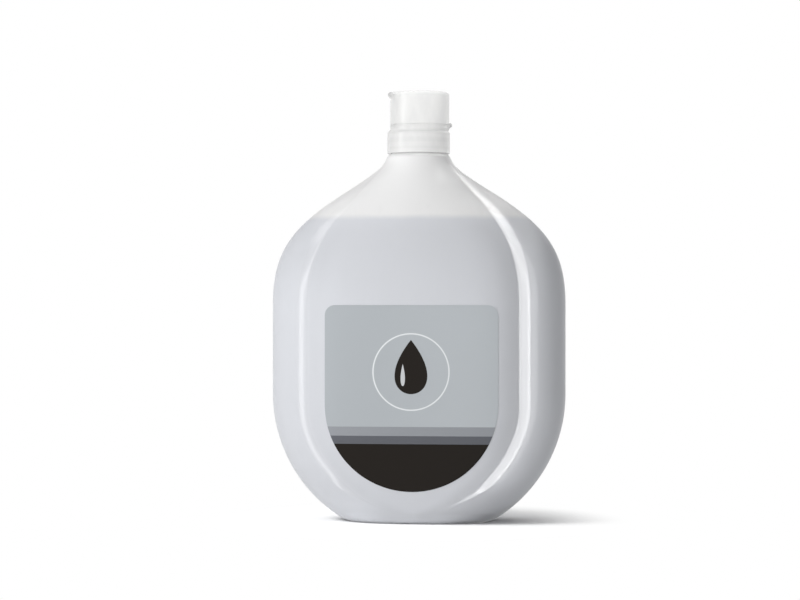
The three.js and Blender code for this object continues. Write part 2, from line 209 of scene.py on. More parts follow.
class Bench:
    """Makes the node tree of one material or of the world."""

    def __init__(self, tree: bpy.types.NodeTree) -> None:
        """Empties a node tree and keeps it.

        Args:
            tree: The node tree to fill.
        """
        tree.nodes.clear()
        self.tree = tree

    def node(
        self,
        kind: str,
        settings: Optional[dict[str, Any]] = None,
        inputs: Optional[dict[Union[str, int], Any]] = None,
        output: Union[str, int] = 0,
    ) -> Value:
        """Adds any node.

        Args:
            kind: The node's type.
            settings: Its own settings, which are set first.
            inputs: Values or links of its sockets, by name or number.
            output: The output socket that is wanted.

        Returns:
            That output socket, wrapped.
        """
        made = self.tree.nodes.new(kind)
        for name, value in (settings or {}).items():
            setattr(made, name, value)
        for name, value in (inputs or {}).items():
            socket = made.inputs[name]
            if isinstance(value, Value):
                self.tree.links.new(value.socket, socket)
            elif isinstance(value, tuple) and socket.type == "RGBA":
                socket.default_value = (*value[:3], 1.0)
            else:
                socket.default_value = value
        return Value(self, made.outputs[output])

    def math(self, operation: str, *values: Number) -> Value:
        """Adds a Math node for an operation on values."""
        return self.node("ShaderNodeMath", {"operation": operation}, dict(enumerate(values)))

    def mix(self, share: Number, first: Any, second: Any) -> Value:
        """Colour that goes from the first to the second as the share goes from 0 to 1."""
        inputs = {0: share, 6: first, 7: second}
        return self.node("ShaderNodeMix", {"data_type": "RGBA"}, inputs, output=2)

    def shade(self, colour: Any, factor: Number) -> Value:
        """Colour times a number, which lightens or darkens it.

        Args:
            colour: The colour, as three numbers or a value.
            factor: What it is multiplied by.

        Returns:
            The new colour.
        """
        grey = self.node("ShaderNodeCombineXYZ", {}, {0: factor, 1: factor, 2: factor})
        settings = {"data_type": "RGBA", "blend_type": "MULTIPLY"}
        return self.node("ShaderNodeMix", settings, {0: 1.0, 6: colour, 7: grey}, output=2)

    def object_axes(self) -> tuple[Value, Value, Value, Value]:
        """Object coordinates in metres.

        Returns:
            The whole vector, then its x, y and z.
        """
        where = self.node("ShaderNodeTexCoord", {}, {}, output="Object")
        axes = [
            self.node("ShaderNodeSeparateXYZ", {}, {0: where}, output=axis)
            for axis in ("X", "Y", "Z")
        ]
        return where, axes[0], axes[1], axes[2]

    def stretched(self, where: Value, scale: Triple) -> Value:
        """Coordinates scaled along each axis, for a pattern with a grain."""
        return self.node("ShaderNodeMapping", {}, {"Vector": where, "Scale": scale})

    def noise(self, where: Value, scale: float, detail: float = 2.0) -> Value:
        """Cloudy noise around 0.5.

        Args:
            where: Coordinates.
            scale: Waves per metre.
            detail: How many finer octaves are added.

        Returns:
            The noise value.
        """
        inputs = {"Vector": where, "Scale": scale, "Detail": detail, "Roughness": NOISE_ROUGHNESS}
        return self.node("ShaderNodeTexNoise", {}, inputs)

    def bump(self, height: Value, distance: float) -> Value:
        """Normal of a surface raised by a height, as a share of a distance in metres."""
        return self.node("ShaderNodeBump", {}, {"Height": height, "Distance": distance, "Strength": 1.0})

    def finish(self, shader: Value, output: str = "ShaderNodeOutputMaterial") -> None:
        """Links a shader to the tree's output."""
        end = self.tree.nodes.new(output)
        self.tree.links.new(shader.socket, end.inputs["Surface"])


def new_material(name: str) -> tuple[bpy.types.Material, Bench]:
    """Makes an empty node material.

    Args:
        name: The material's name.

    Returns:
        The material and the bench for its nodes.
    """
    material = bpy.data.materials.new(name)
    material.use_nodes = True
    return material, Bench(material.node_tree)


@dataclass(frozen=True)
class PaintedLightPatch:
    """A soft patch of painted light or painted shade on the wall, lighter or darker by a share.

    A span gives where the patch fades in or out: along X, upwards, or by the distance from the crease.
    """

    share: float
    side_from: Optional[Span] = None
    side_to: Optional[Span] = None
    height_from: Optional[Span] = None
    height_to: Optional[Span] = None
    gap_from: Optional[Span] = None
    gap_to: Optional[Span] = None

    def change(self, side: Value, height: Value, gap: Value) -> Value:
        """Change of tone by the painted light or shade, which is the share times the fade of each span that
        is given.

        Args:
            side: Place along X.
            height: Place along Z.
            gap: Distance from the crease, negative on the panel.

        Returns:
            The share inside the patch and 0 outside it.
        """
        fades = (
            (side.above, self.side_from),
            (side.below, self.side_to),
            (height.above, self.height_from),
            (height.below, self.height_to),
            (gap.above, self.gap_from),
            (gap.below, self.gap_to),
        )
        return math.prod((fade(*span) for fade, span in fades if span), start=self.share)


@dataclass(frozen=True)
class MilkyPlastic:
    """Natural polyethylene with a satin blown skin, with the gel's tint showing below its level and patches
    of painted light and shade.
    """

    filled: Colour = srgb(207, 209, 214)
    empty: Colour = srgb(234, 234, 234)
    level: float = 0.1541
    level_softness: float = 0.0036
    wobble: float = 0.0010
    wobble_scale: float = 120.0
    mottle: float = 0.014
    mottle_scale: float = 38.0
    streak: float = 0.014
    streak_scale: Triple = (260.0, 260.0, 14.0)
    cling: float = 0.02
    cling_scale: Triple = (110.0, 110.0, 60.0)
    cling_span: Span = (0.52, 0.66)
    cling_height: float = 0.006
    cling_softness: float = 0.004
    meniscus: float = 0.035
    meniscus_depth: float = 0.009
    # Painted shade from just inside the crease outwards over the rim, below the shoulder, stronger on the
    # right.
    painted_crease_shade: PaintedLightPatch = PaintedLightPatch(-0.06, height_to=(0.128, 0.156), gap_from=(-0.014, -0.001))
    painted_crease_shade_right: PaintedLightPatch = PaintedLightPatch(-0.06, RIGHT_HALF, height_to=(0.128, 0.156), gap_from=(-0.014, -0.001))
    # Painted shade on the right of the panel inside its crease.
    turn: PaintedLightPatch = PaintedLightPatch(
        -0.12, RIGHT_HALF, None, (0.02, 0.05), (0.148, 0.160), (-0.026, -0.001), (0.0, 0.002)
    )
    # Painted light on the right shoulder outside the crease.
    painted_crest_light: PaintedLightPatch = PaintedLightPatch(0.18, RIGHT_HALF, height_from=(0.154, 0.164), gap_from=(0.0, 0.003))
    # Painted light on the right side of the neck.
    painted_nape_light: PaintedLightPatch = PaintedLightPatch(0.13, side_from=(0.008, 0.014), height_from=(0.168, 0.177))
    # Painted sheen on the right side, just outside the polished band.
    painted_flank_sheen: PaintedLightPatch = PaintedLightPatch(
        0.17, RIGHT_HALF, None, (0.012, 0.025), (0.128, 0.150), (0.004, 0.007), (0.009, 0.028)
    )
    # Painted light on the left heel.
    heel: PaintedLightPatch = PaintedLightPatch(0.15, side_to=(-0.032, -0.010), height_to=(0.002, 0.020))
    roughness: float = 0.4
    roughness_change: float = 0.04
    specular: float = 0.1
    rim_roughness: float = 0.1
    rim_start: Span = (-0.0005, 0.0)
    rim_foot: Span = (0.004, 0.015)
    rim_head: Span = (0.162, 0.183)
    rim_narrow: Span = (0.120, 0.150)
    rim_width: Span = (0.003, 0.010)
    rim_pinch: Span = (0.156, 0.176)
    rim_pinch_share: float = 2.0
    rim_fade: Span = (0.007, 0.018)
    rim_fade_share: float = 0.9
    rim_step: Span = (0.0056, 0.0060)
    rim_step_share: float = 0.70
    tail_span: Span = (0.004, 0.030)
    tail_head: Span = (0.020, 0.035)
    tail_width: float = 0.0105
    tail_edge: Span = (-0.0009, 0.0004)
    peel: float = 0.00002
    peel_scale: float = 900.0
    seam_height: float = 0.00010
    seam_half_width: float = 0.00022
    seam_crest_share: float = 0.3
    subsurface: float = 0.12
    subsurface_depth: float = 0.004

    def polish(self, z: Value, gap: Value) -> Value:
        """Gloss of the rim outside the crease.

        It starts at the crease, steps down and fades away from it, narrows towards the shoulder and tapers
        to its end at the foot.

        Args:
            z: Height.
            gap: Distance from the crease, negative on the panel.

        Returns:
            The weight of the coat.
        """
        pinched = gap * (1.0 + z.above(*self.rim_pinch) * self.rim_pinch_share)
        narrow = 1.0 - pinched.above(*self.rim_width) * z.above(*self.rim_narrow)
        faded = 1.0 - gap.above(*self.rim_fade) * self.rim_fade_share
        stepped = 1.0 - gap.above(*self.rim_step) * self.rim_step_share
        past_tail = (gap - z.above(*self.tail_span) * self.tail_width).above(*self.tail_edge)
        tapered = 1.0 - past_tail * z.below(*self.tail_head)
        tall = z.above(*self.rim_foot) * z.below(*self.rim_head)
        return gap.above(*self.rim_start) * narrow * faded * stepped * tapered * tall

    def material(self) -> bpy.types.Material:
        """Makes the material.

        Returns:
            A material whose colour steps softly at the gel's level, with clouds, streaks, gel clinging above
            the level, patches of painted light and painted shade on the wall, a mould seam and a polished rim
            outside the panel's crease.
        """
        material, bench = new_material("milky_plastic")
        where, x, y, z = bench.object_axes()
        gap = bench.node("ShaderNodeAttribute", {"attribute_name": CREASE_GAP}, {}, output="Fac")
        clouds = bench.noise(where, self.mottle_scale, 3.0) - NOISE_MIDDLE
        streaks = bench.noise(bench.stretched(where, self.streak_scale), 1.0) - NOISE_MIDDLE
        ripple = bench.noise(where, self.wobble_scale) - NOISE_MIDDLE
        smear = bench.noise(bench.stretched(where, self.cling_scale), 1.0, 3.0)
        half = self.level_softness / 2.0
        empty = (z + ripple * self.wobble).above(self.level - half, self.level + half)
        over_level = z.within(self.level, self.level + self.cling_height, self.cling_softness)
        clinging = smear.above(*self.cling_span) * over_level
        meniscus = z.above(self.level - self.meniscus_depth, self.level) * (1.0 - empty)
        tone = 1.0 + clouds * self.mottle + streaks * self.streak
        tone = tone - clinging * self.cling + meniscus * self.meniscus
        # Patches of painted light and painted shade, added to the wall's tone.
        painted_patches = (
            self.painted_crease_shade, self.painted_crease_shade_right, self.turn, self.painted_crest_light, self.painted_nape_light, self.painted_flank_sheen, self.heel
        )
        for painted_patch in painted_patches:
            tone = tone + painted_patch.change(x, z, gap)
        seam = abs(y).below(self.seam_half_width * self.seam_crest_share, self.seam_half_width)
        relief = bench.noise(where, self.peel_scale, 1.0) * self.peel + seam * self.seam_height
        inputs = {
            "Base Color": bench.shade(bench.mix(empty, self.filled, self.empty), tone),
            "Roughness": self.roughness + clouds * self.roughness_change,
            "Normal": bench.bump(relief, 1.0),
            "Specular IOR Level": self.specular,
            "Coat Weight": self.polish(z, gap),
            "Coat Roughness": self.rim_roughness,
            "Subsurface Weight": self.subsurface,
            "Subsurface Radius": EVEN_RADIUS,
            "Subsurface Scale": self.subsurface_depth,
        }
        bench.finish(bench.node("ShaderNodeBsdfPrincipled", {}, inputs))
        return material


@dataclass(frozen=True)
class SoapGel:
    """Clear gel with a pale lilac-grey tint and a few small bubbles."""

    tint: Colour = srgb(200, 201, 210)
    bubble: Colour = srgb(228, 229, 234)
    cloud_scale: float = 45.0
    cloud_share: float = 0.06
    bubble_scale: float = 140.0
    bubble_span: Span = (0.10, 0.16)
    bubble_height: float = 0.0002
    roughness: float = 0.12
    bubble_roughness: float = 0.1
    refraction: float = 1.36

    def material(self) -> bpy.types.Material:
        """Makes the material.

        Returns:
            A material with soft clouds and pale bubbles, which are the middles of scattered cells.
        """
        material, bench = new_material("soap_gel")
        where, _, _, _ = bench.object_axes()
        clouds = bench.noise(where, self.cloud_scale) - NOISE_MIDDLE
        cells = bench.node("ShaderNodeTexVoronoi", {}, {"Vector": where, "Scale": self.bubble_scale})
        bubbles = cells.below(*self.bubble_span)
        colour = bench.mix(bubbles, self.tint, self.bubble)
        inputs = {
            "Base Color": bench.shade(colour, 1.0 + clouds * self.cloud_share),
            "Roughness": self.roughness + bubbles * self.bubble_roughness,
            "Normal": bench.bump(bubbles, self.bubble_height),
            "IOR": self.refraction,
        }
        bench.finish(bench.node("ShaderNodeBsdfPrincipled", {}, inputs))
        return material


@dataclass(frozen=True)
class LabelFilm:
    """Printed film: a pale field painted lighter towards the right, two stripes, a dark foot and a plain drop
    in a ring.
    """

    # The pale field's print colour, with painted light that makes it lighter towards the right.
    field_left: Colour = srgb(172, 177, 181)
    field_right_painted_light: Colour = srgb(185, 190, 194)
    stripe_upper: Colour = srgb(148, 151, 156)
    stripe_lower: Colour = srgb(95, 97, 103)
    foot: Colour = srgb(21, 15, 9)
    pale: Colour = srgb(226, 229, 231)
    stripe_upper_top: float = 0.0492
    stripe_lower_top: float = 0.04465
    foot_top: float = 0.0406
    field_span: Span = (-0.045, 0.045)
    print_middle: float = -0.0006
    print_softness: float = 0.00016
    drop_bottom: float = 0.0655
    drop_height: float = 0.0270
    drop_half_width: float = 0.0082
    drop_end_softness: float = 0.002
    ring_middle: float = 0.0765
    ring_radius: float = 0.0190
    ring_width: float = 0.0007
    gleam_side: float = 0.0041
    gleam_lift: float = 0.004
    gleam_height: float = 0.011
    gleam_half_width: float = 0.0011
    gleam_share: float = 0.75
    cloud_scale: float = 55.0
    cloud_share: float = 0.02
    fibre_scale: float = 2600.0
    fibre_share: float = 0.03
    relief: float = 0.000008
    roughness: float = 0.34
    roughness_change: float = 0.1
    specular: float = 0.2

    def edge(self, top: float, z: Value) -> Value:
        """1 below a print edge at a height and 0 above it."""
        return z.below(top - self.print_softness / 2.0, top + self.print_softness / 2.0)

    def drop(self, x: Value, z: Value, bottom: float, tall: float, wide: float) -> Value:
        """Mask of a drop.

        At the share h of its height its half-width is the square root of h times 1 - h, scaled so that
        its widest place, a third of the way up, is the given half-width.

        Args:
            x: Distance from the drop's middle line, in metres.
            z: Height, in metres.
            bottom: Height of the drop's lowest point.
            tall: Its height.
            wide: Its half-width.

        Returns:
            1 inside the drop and 0 outside it.
        """
        share = (z - bottom) / tall
        inside = share.within(0.0, 1.0, self.drop_end_softness)
        clamped = x.bench.math("MAXIMUM", share, 0.0)
        half = (clamped ** 0.5) * (1.0 - clamped) * (wide / DROP_WIDEST)
        soft = self.print_softness / 2.0
        return (abs(x) - half).below(-soft, soft) * inside

    def material(self) -> bpy.types.Material:
        """Makes the material.

        Returns:
            A material whose fields of colour are set by height, with a plain drop, a thin ring and painted
            light that lightens the pale field towards the right.
        """
        material, bench = new_material("label_film")
        where, x, _, z = bench.object_axes()
        x = x - self.print_middle
        colour = bench.mix(x.above(*self.field_span), self.field_left, self.field_right_painted_light)
        fields = (
            (self.stripe_upper_top, self.stripe_upper),
            (self.stripe_lower_top, self.stripe_lower),
            (self.foot_top, self.foot),
        )
        for top, ink in fields:
            colour = bench.mix(self.edge(top, z), colour, ink)
        up = z - self.ring_middle
        radius = (x * x + up * up) ** 0.5
        half = self.ring_width / 2.0
        ring = radius.within(self.ring_radius - half, self.ring_radius + half, self.print_softness)
        colour = bench.mix(ring, colour, self.pale)
        drop = self.drop(x, z, self.drop_bottom, self.drop_height, self.drop_half_width)
        colour = bench.mix(drop, colour, self.foot)
        low = self.drop_bottom + self.gleam_lift
        gleam = self.drop(x + self.gleam_side, z, low, self.gleam_height, self.gleam_half_width)
        colour = bench.mix(gleam * self.gleam_share, colour, self.pale)
        clouds = bench.noise(where, self.cloud_scale, 3.0) - NOISE_MIDDLE
        fibre = bench.noise(where, self.fibre_scale, 1.0) - NOISE_MIDDLE
        inputs = {
            "Base Color": bench.shade(colour, 1.0 + clouds * self.cloud_share + fibre * self.fibre_share),
            "Roughness": self.roughness + clouds * self.roughness_change,
            "Normal": bench.bump(fibre + clouds, self.relief),
            "Specular IOR Level": self.specular,
        }
        bench.finish(bench.node("ShaderNodeBsdfPrincipled", {}, inputs))
        return material


@dataclass(frozen=True)
class ClosurePlastic:
    """Natural polypropylene: smooth, pale and faintly see-through."""

    tint: Colour = srgb(232, 232, 231)
    cloud: Colour = srgb(225, 225, 225)
    flow_scale: Triple = (160.0, 160.0, 60.0)
    flow_span: Span = (0.35, 0.7)
    alpha: float = 0.6
    lid_axis: float = 0.0006
    tab_radius: float = 0.0152
    tab_bottom: float = 0.1985
    tab_softness: float = 0.0003
    tab_shade: float = 0.42
    skirt_head: Span = (0.1984, 0.1988)
    skirt_side: Span = (-0.006, 0.012)
    skirt_shade: float = 0.09
    rings: tuple[Span, ...] = ((0.1888, 0.1900), (0.1922, 0.1946), (0.1964, 0.1980))
    ring_softness: float = 0.0009
    ring_shade: float = 0.04
    roughness: float = 0.3
    roughness_change: float = 0.12
    refraction: float = 1.49
    peel: float = 0.000012
    peel_scale: float = 1400.0
    subsurface: float = 0.1
    subsurface_depth: float = 0.002

    def material(self) -> bpy.types.Material:
        """Makes the material.

        Returns:
            A material with faint flow clouds, painted shade where the beads inside the skirt show through,
            painted shade on the skirt's right side and on the solid thumb lip and hinge, and a fine moulded
            skin.
            It is evenly see-through but for the solid thumb lip and hinge.
        """
        material, bench = new_material("closure_plastic")
        where, x, y, z = bench.object_axes()
        across = x - self.lid_axis
        radius = (across * across + y * y) ** 0.5
        tab = radius.above(self.tab_radius, self.tab_radius + self.tab_softness)
        tab = tab * z.above(self.tab_bottom, self.tab_bottom + self.tab_softness)
        flow = bench.noise(bench.stretched(where, self.flow_scale), 1.0, 3.0)
        # Painted shade: the solid lip and hinge darker, the skirt darker on its right side, and bands where
        # the beads inside show through.
        skirt = z.below(*self.skirt_head) * x.above(*self.skirt_side)
        tone = 1.0 - tab * self.tab_shade - skirt * self.skirt_shade
        for low, high in self.rings:
            tone = tone - z.within(low, high, self.ring_softness) * self.ring_shade
        colour = bench.mix(flow.above(*self.flow_span), self.tint, self.cloud)
        inputs = {
            "Base Color": bench.shade(colour, tone),
            "Roughness": self.roughness + (flow - NOISE_MIDDLE) * self.roughness_change,
            "Normal": bench.bump(bench.noise(where, self.peel_scale, 1.0), self.peel),
            "Alpha": self.alpha + tab * (1.0 - self.alpha),
            "IOR": self.refraction,
            "Subsurface Weight": self.subsurface,
            "Subsurface Radius": EVEN_RADIUS,
            "Subsurface Scale": self.subsurface_depth,
        }
        bench.finish(bench.node("ShaderNodeBsdfPrincipled", {}, inputs))
        return material


def grid_quads(rows: int, columns: int, wrap: bool) -> np.ndarray:
    """Corner numbers of a grid's quads, row by row.

    Args:
        rows: Rows of points.
        columns: Points in a row.
        wrap: Whether the last column joins the first.

    Returns:
        An array of four corners a quad.
    """
    across = np.arange(columns if wrap else columns - 1)
    start = np.arange(rows - 1)[:, None] * columns
    left, right = start + across, start + (across + 1) % columns
    return np.stack([left, right, right + columns, left + columns], axis=-1).reshape(-1, 4)


def fan(pole: int, ring: np.ndarray) -> np.ndarray:
    """Triangles from a pole to each side of a closed ring."""
    return np.stack([np.full(len(ring), pole), ring, np.roll(ring, -1)], axis=-1)


def signed_volume(points: np.ndarray, faces: Sequence[np.ndarray]) -> float:
    """Volume inside a closed mesh, negative if its faces point inwards.

    Each face is cut into triangles from its first corner, and each triangle adds a sixth of the triple
    product of its corners.

    Args:
        points: Points of the mesh.
        faces: Arrays of quads or triangles.

    Returns:
        The volume.
    """
    total = 0.0
    for group in faces:
        for last in range(2, group.shape[1]):
            a, b, c = points[group[:, 0]], points[group[:, last - 1]], points[group[:, last]]
            total += float(np.einsum("ij,ij->i", a, np.cross(b, c)).sum()) / 6.0
    return total


def make_piece(
    name: str,
    points: np.ndarray,
    faces: Sequence[np.ndarray],
    material: bpy.types.Material,
    sharp: float = 38.0,
) -> bpy.types.Object:
    """Puts a closed mesh into the scene with its faces outwards.

    Args:
        name: The piece's name.
        points: Points in millimetres.
        faces: Arrays of quads or triangles.
        material: The piece's material.
        sharp: Angle in degrees over which an edge is shaded sharp.

    Returns:
        The new object, at the origin.
    """
    turn = 1 if signed_volume(points, faces) > 0.0 else -1
    mesh = bpy.data.meshes.new(name)
    mesh.from_pydata(points * MM, [], [face for group in faces for face in group[:, ::turn].tolist()])
    mesh.materials.append(material)
    mesh.shade_smooth()
    mesh.set_sharp_from_angle(angle=math.radians(sharp))
    mesh.validate()
    piece = bpy.data.objects.new(name, mesh)
    bpy.context.collection.objects.link(piece)
    return piece


def capped_skin(rows: np.ndarray, first: np.ndarray, last: np.ndarray) -> Skin:
    """Closed rings joined in a row, with a pole at each end.

    Args:
        rows: Points, as rows by columns by coordinates.
        first: The pole before the first row.
        last: The pole after the last row.

    Returns:
        The points and the faces.
    """
    count, columns = rows.shape[:2]
    points = np.concatenate([rows.reshape(-1, 3), [first], [last]])
    end = count * columns
    faces = [
        grid_quads(count, columns, True),
        fan(end, np.arange(columns)[::-1]),
        fan(end + 1, np.arange(columns) + end - columns),
    ]
    return points, faces


def ring_skin(rows: np.ndarray) -> Skin:
    """Closed rings joined in a row whose last ring joins the first."""
    count, columns = rows.shape[:2]
    return rows.reshape(-1, 3), [grid_quads(count + 1, columns, True) % (count * columns)]


def thick_sheet(front: np.ndarray, back: np.ndarray) -> Skin:
    """Two grids joined along their four edges into a closed sheet.

    Args:
        front: Points of one side, as rows by columns by coordinates.
        back: Points of the other side, in the same order.

    Returns:
        The points and the faces.
    """
    rows, columns = front.shape[:2]
    count = rows * columns
    index = np.arange(count).reshape(rows, columns)
    around = np.concatenate([index[0, :-1], index[:-1, -1], index[-1, :0:-1], index[:0:-1, 0]])
    after = np.roll(around, -1)
    walls = np.stack([after, around, around + count, after + count], axis=-1)
    quads = grid_quads(rows, columns, False)
    points = np.concatenate([front.reshape(-1, 3), back.reshape(-1, 3)])
    return points, [quads, quads[:, ::-1] + count, walls]


def rounded(corners: np.ndarray, radius: np.ndarray, steps: int = 6, closed: bool = True) -> np.ndarray:
    """Profile whose corners are rounded.

    Each corner gives way to a quadratic curve with the corner as its handle. The curve starts and ends at
    the radius from the corner, or at a set share of a shorter side, and a point before and after it keeps
    the straight stretches straight.

    Args:
        corners: Corner points, one a row.
        radius: Rounding at each corner.
        steps: Points on each curve.
        closed: Whether the last corner joins the first. Otherwise both ends stay sharp.

    Returns:
        The points of the rounded profile.
    """
    before = np.roll(corners, 1, axis=0) - corners
    after = np.roll(corners, -1, axis=0) - corners
    before_length = np.linalg.norm(before, axis=1, keepdims=True)
    after_length = np.linalg.norm(after, axis=1, keepdims=True)
    reach = np.minimum(radius[:, None], ROUNDING_LIMIT * np.minimum(before_length, after_length))
    wider = LEAD_SHARE * reach
    start = corners + before / before_length * reach
    end = corners + after / after_length * reach
    share = np.linspace(0.0, 1.0, steps)[:, None, None]
    curve = bezier(share, start, corners, end)
    lead_in = corners + before / before_length * wider
    lead_out = corners + after / after_length * wider
    points = np.concatenate([lead_in[None], curve, lead_out[None]]).transpose(1, 0, 2)
    if closed:
        return points.reshape(-1, corners.shape[1])
    middle = points[1:-1].reshape(-1, corners.shape[1])
    return np.concatenate([corners[:1], middle, corners[-1:]])


def densified(profile: np.ndarray, step: float, closed: bool = True) -> np.ndarray:
    """Profile with points added along its straight stretches, so that none is longer than a step.

    Args:
        profile: Points, one a row.
        step: Longest stretch.
        closed: Whether the last point joins the first.

    Returns:
        The points with more between them.
    """
    line = np.concatenate([profile, profile[:1]]) if closed else profile
    along = np.concatenate([[0.0], np.cumsum(np.linalg.norm(np.diff(line[:, :2], axis=0), axis=1))])
    even = np.linspace(0.0, along[-1], int(along[-1] / step) + 2)
    gap = np.abs(even[:, None] - along[None, :]).min(axis=1)
    places = np.sort(np.concatenate([along, even[gap > CLOSE_SHARE * step]]))
    dense = np.stack([np.interp(places, along, line[:, k]) for k in range(line.shape[1])], axis=-1)
    return dense[:-1] if closed else dense


def turned(profile: np.ndarray, columns: int) -> np.ndarray:
    """Rings of a profile of radius, height and axis offset carried round an upright axis.

    A point at the angle q lies at offset + radius cos q along X, radius sin q along Y, and its height.

    Args:
        profile: Rows of radius, height and axis offset.
        columns: Points in a ring.

    Returns:
        Points, as rows by columns by 3.
    """
    angle = np.linspace(0.0, 2.0 * math.pi, columns, endpoint=False)
    radius, height, offset = (profile[:, k][:, None] for k in range(3))
    x = offset + radius * np.cos(angle)
    y = radius * np.sin(angle)
    return np.stack([x, y, np.broadcast_to(height, x.shape)], axis=-1)


@dataclass
class Closure:
    """Sizes that the closure's two halves and the neck share, in millimetres."""

    neck_radius: float = 13.3
    neck_wall: float = 2.1
    bead_proud: float = 0.75
    bead_gap: float = 0.4
    skirt_wall: float = 1.5
    skirt_step: float = 0.9
    bottom: float = 186.8
    skirt_height: float = 11.6
    deck: float = 1.1
    collar_height: float = 2.85
    fit_gap: float = 0.3
    lid_height: float = 16.45
    lid_offset: float = 0.6
    lid_wall: float = 1.4
    lid_roof: float = 1.4
    spout_headroom: float = 4.8
    spout_bore: float = 5.0
    hinge_proud: float = 1.0
    hinge_half_width: float = 5.0
    hinge_height: float = 2.0
    hinge_tip: float = 0.5
    hinge_slope: float = 2.2
    hinge_softness: float = 0.15
    wall_slack: float = 0.06
    level_slack: float = 0.02
    key_angle: float = math.radians(32.0)
    key_spread: float = math.radians(10.5)
    key_half_width: float = 0.65
    key_lift: float = 0.6
    key_height: float = 3.0

    @property
    def skirt_bore(self) -> float:
        """Radius of the skirt's inside."""
        return self.neck_radius + self.bead_proud + self.bead_gap

    @property
    def skirt_radius(self) -> float:
        """Radius of the skirt's outside."""
        return self.skirt_bore + self.skirt_wall

    @property
    def lid_radius(self) -> float:
        """Radius of the lid and of the collar below it."""
        return self.skirt_radius - self.skirt_step

    @property
    def parting(self) -> float:
        """Height of the collar's top."""
        return self.bottom + self.skirt_height + self.collar_height

    @property
    def lid_top(self) -> float:
        """Height of the whole pack."""
        return self.parting + self.fit_gap + self.lid_height

    @property
    def spout_top(self) -> float:
        """Height of the pour spout's rim."""
        return self.lid_top - self.lid_roof - self.spout_headroom

    @property
    def hinge_x(self) -> float:
        """Place of the hinge line along X."""
        return self.lid_offset + self.lid_radius + self.hinge_proud

    def wedge(self, rows: np.ndarray, level: float, direction: float) -> np.ndarray:
        """Draws out the wedge that carries one half of the hinge.

        Outer points within the wedge's width and height move along X to its flat outer face, which stands
        at the hinge line near the parting and slopes back to the wall.

        Args:
            rows: Rings of points.
            level: Height of the wedge's flat end at the parting.
            direction: 1 if the wedge goes up from there, or -1 if it goes down.

        Returns:
            The rings with the wedge.
        """
        x, y, z = rows[..., 0], rows[..., 1], rows[..., 2]
        away = (z - level) * direction
        tip, slope = self.hinge_x, self.hinge_x - self.hinge_slope
        face = np.interp(away, [0.0, self.hinge_tip, self.hinge_height], [tip, tip, slope])
        inside = band(y, self.hinge_half_width, self.hinge_softness)
        outer = np.hypot(x - self.lid_offset, y) > self.lid_radius - self.wall_slack
        near = (x > 0.0) & outer & (away > -self.level_slack) & (away < self.hinge_height)
        out = rows.copy()
        out[..., 0] = x + np.where(near, np.maximum(face - x, 0.0) * inside, 0.0)
        return out


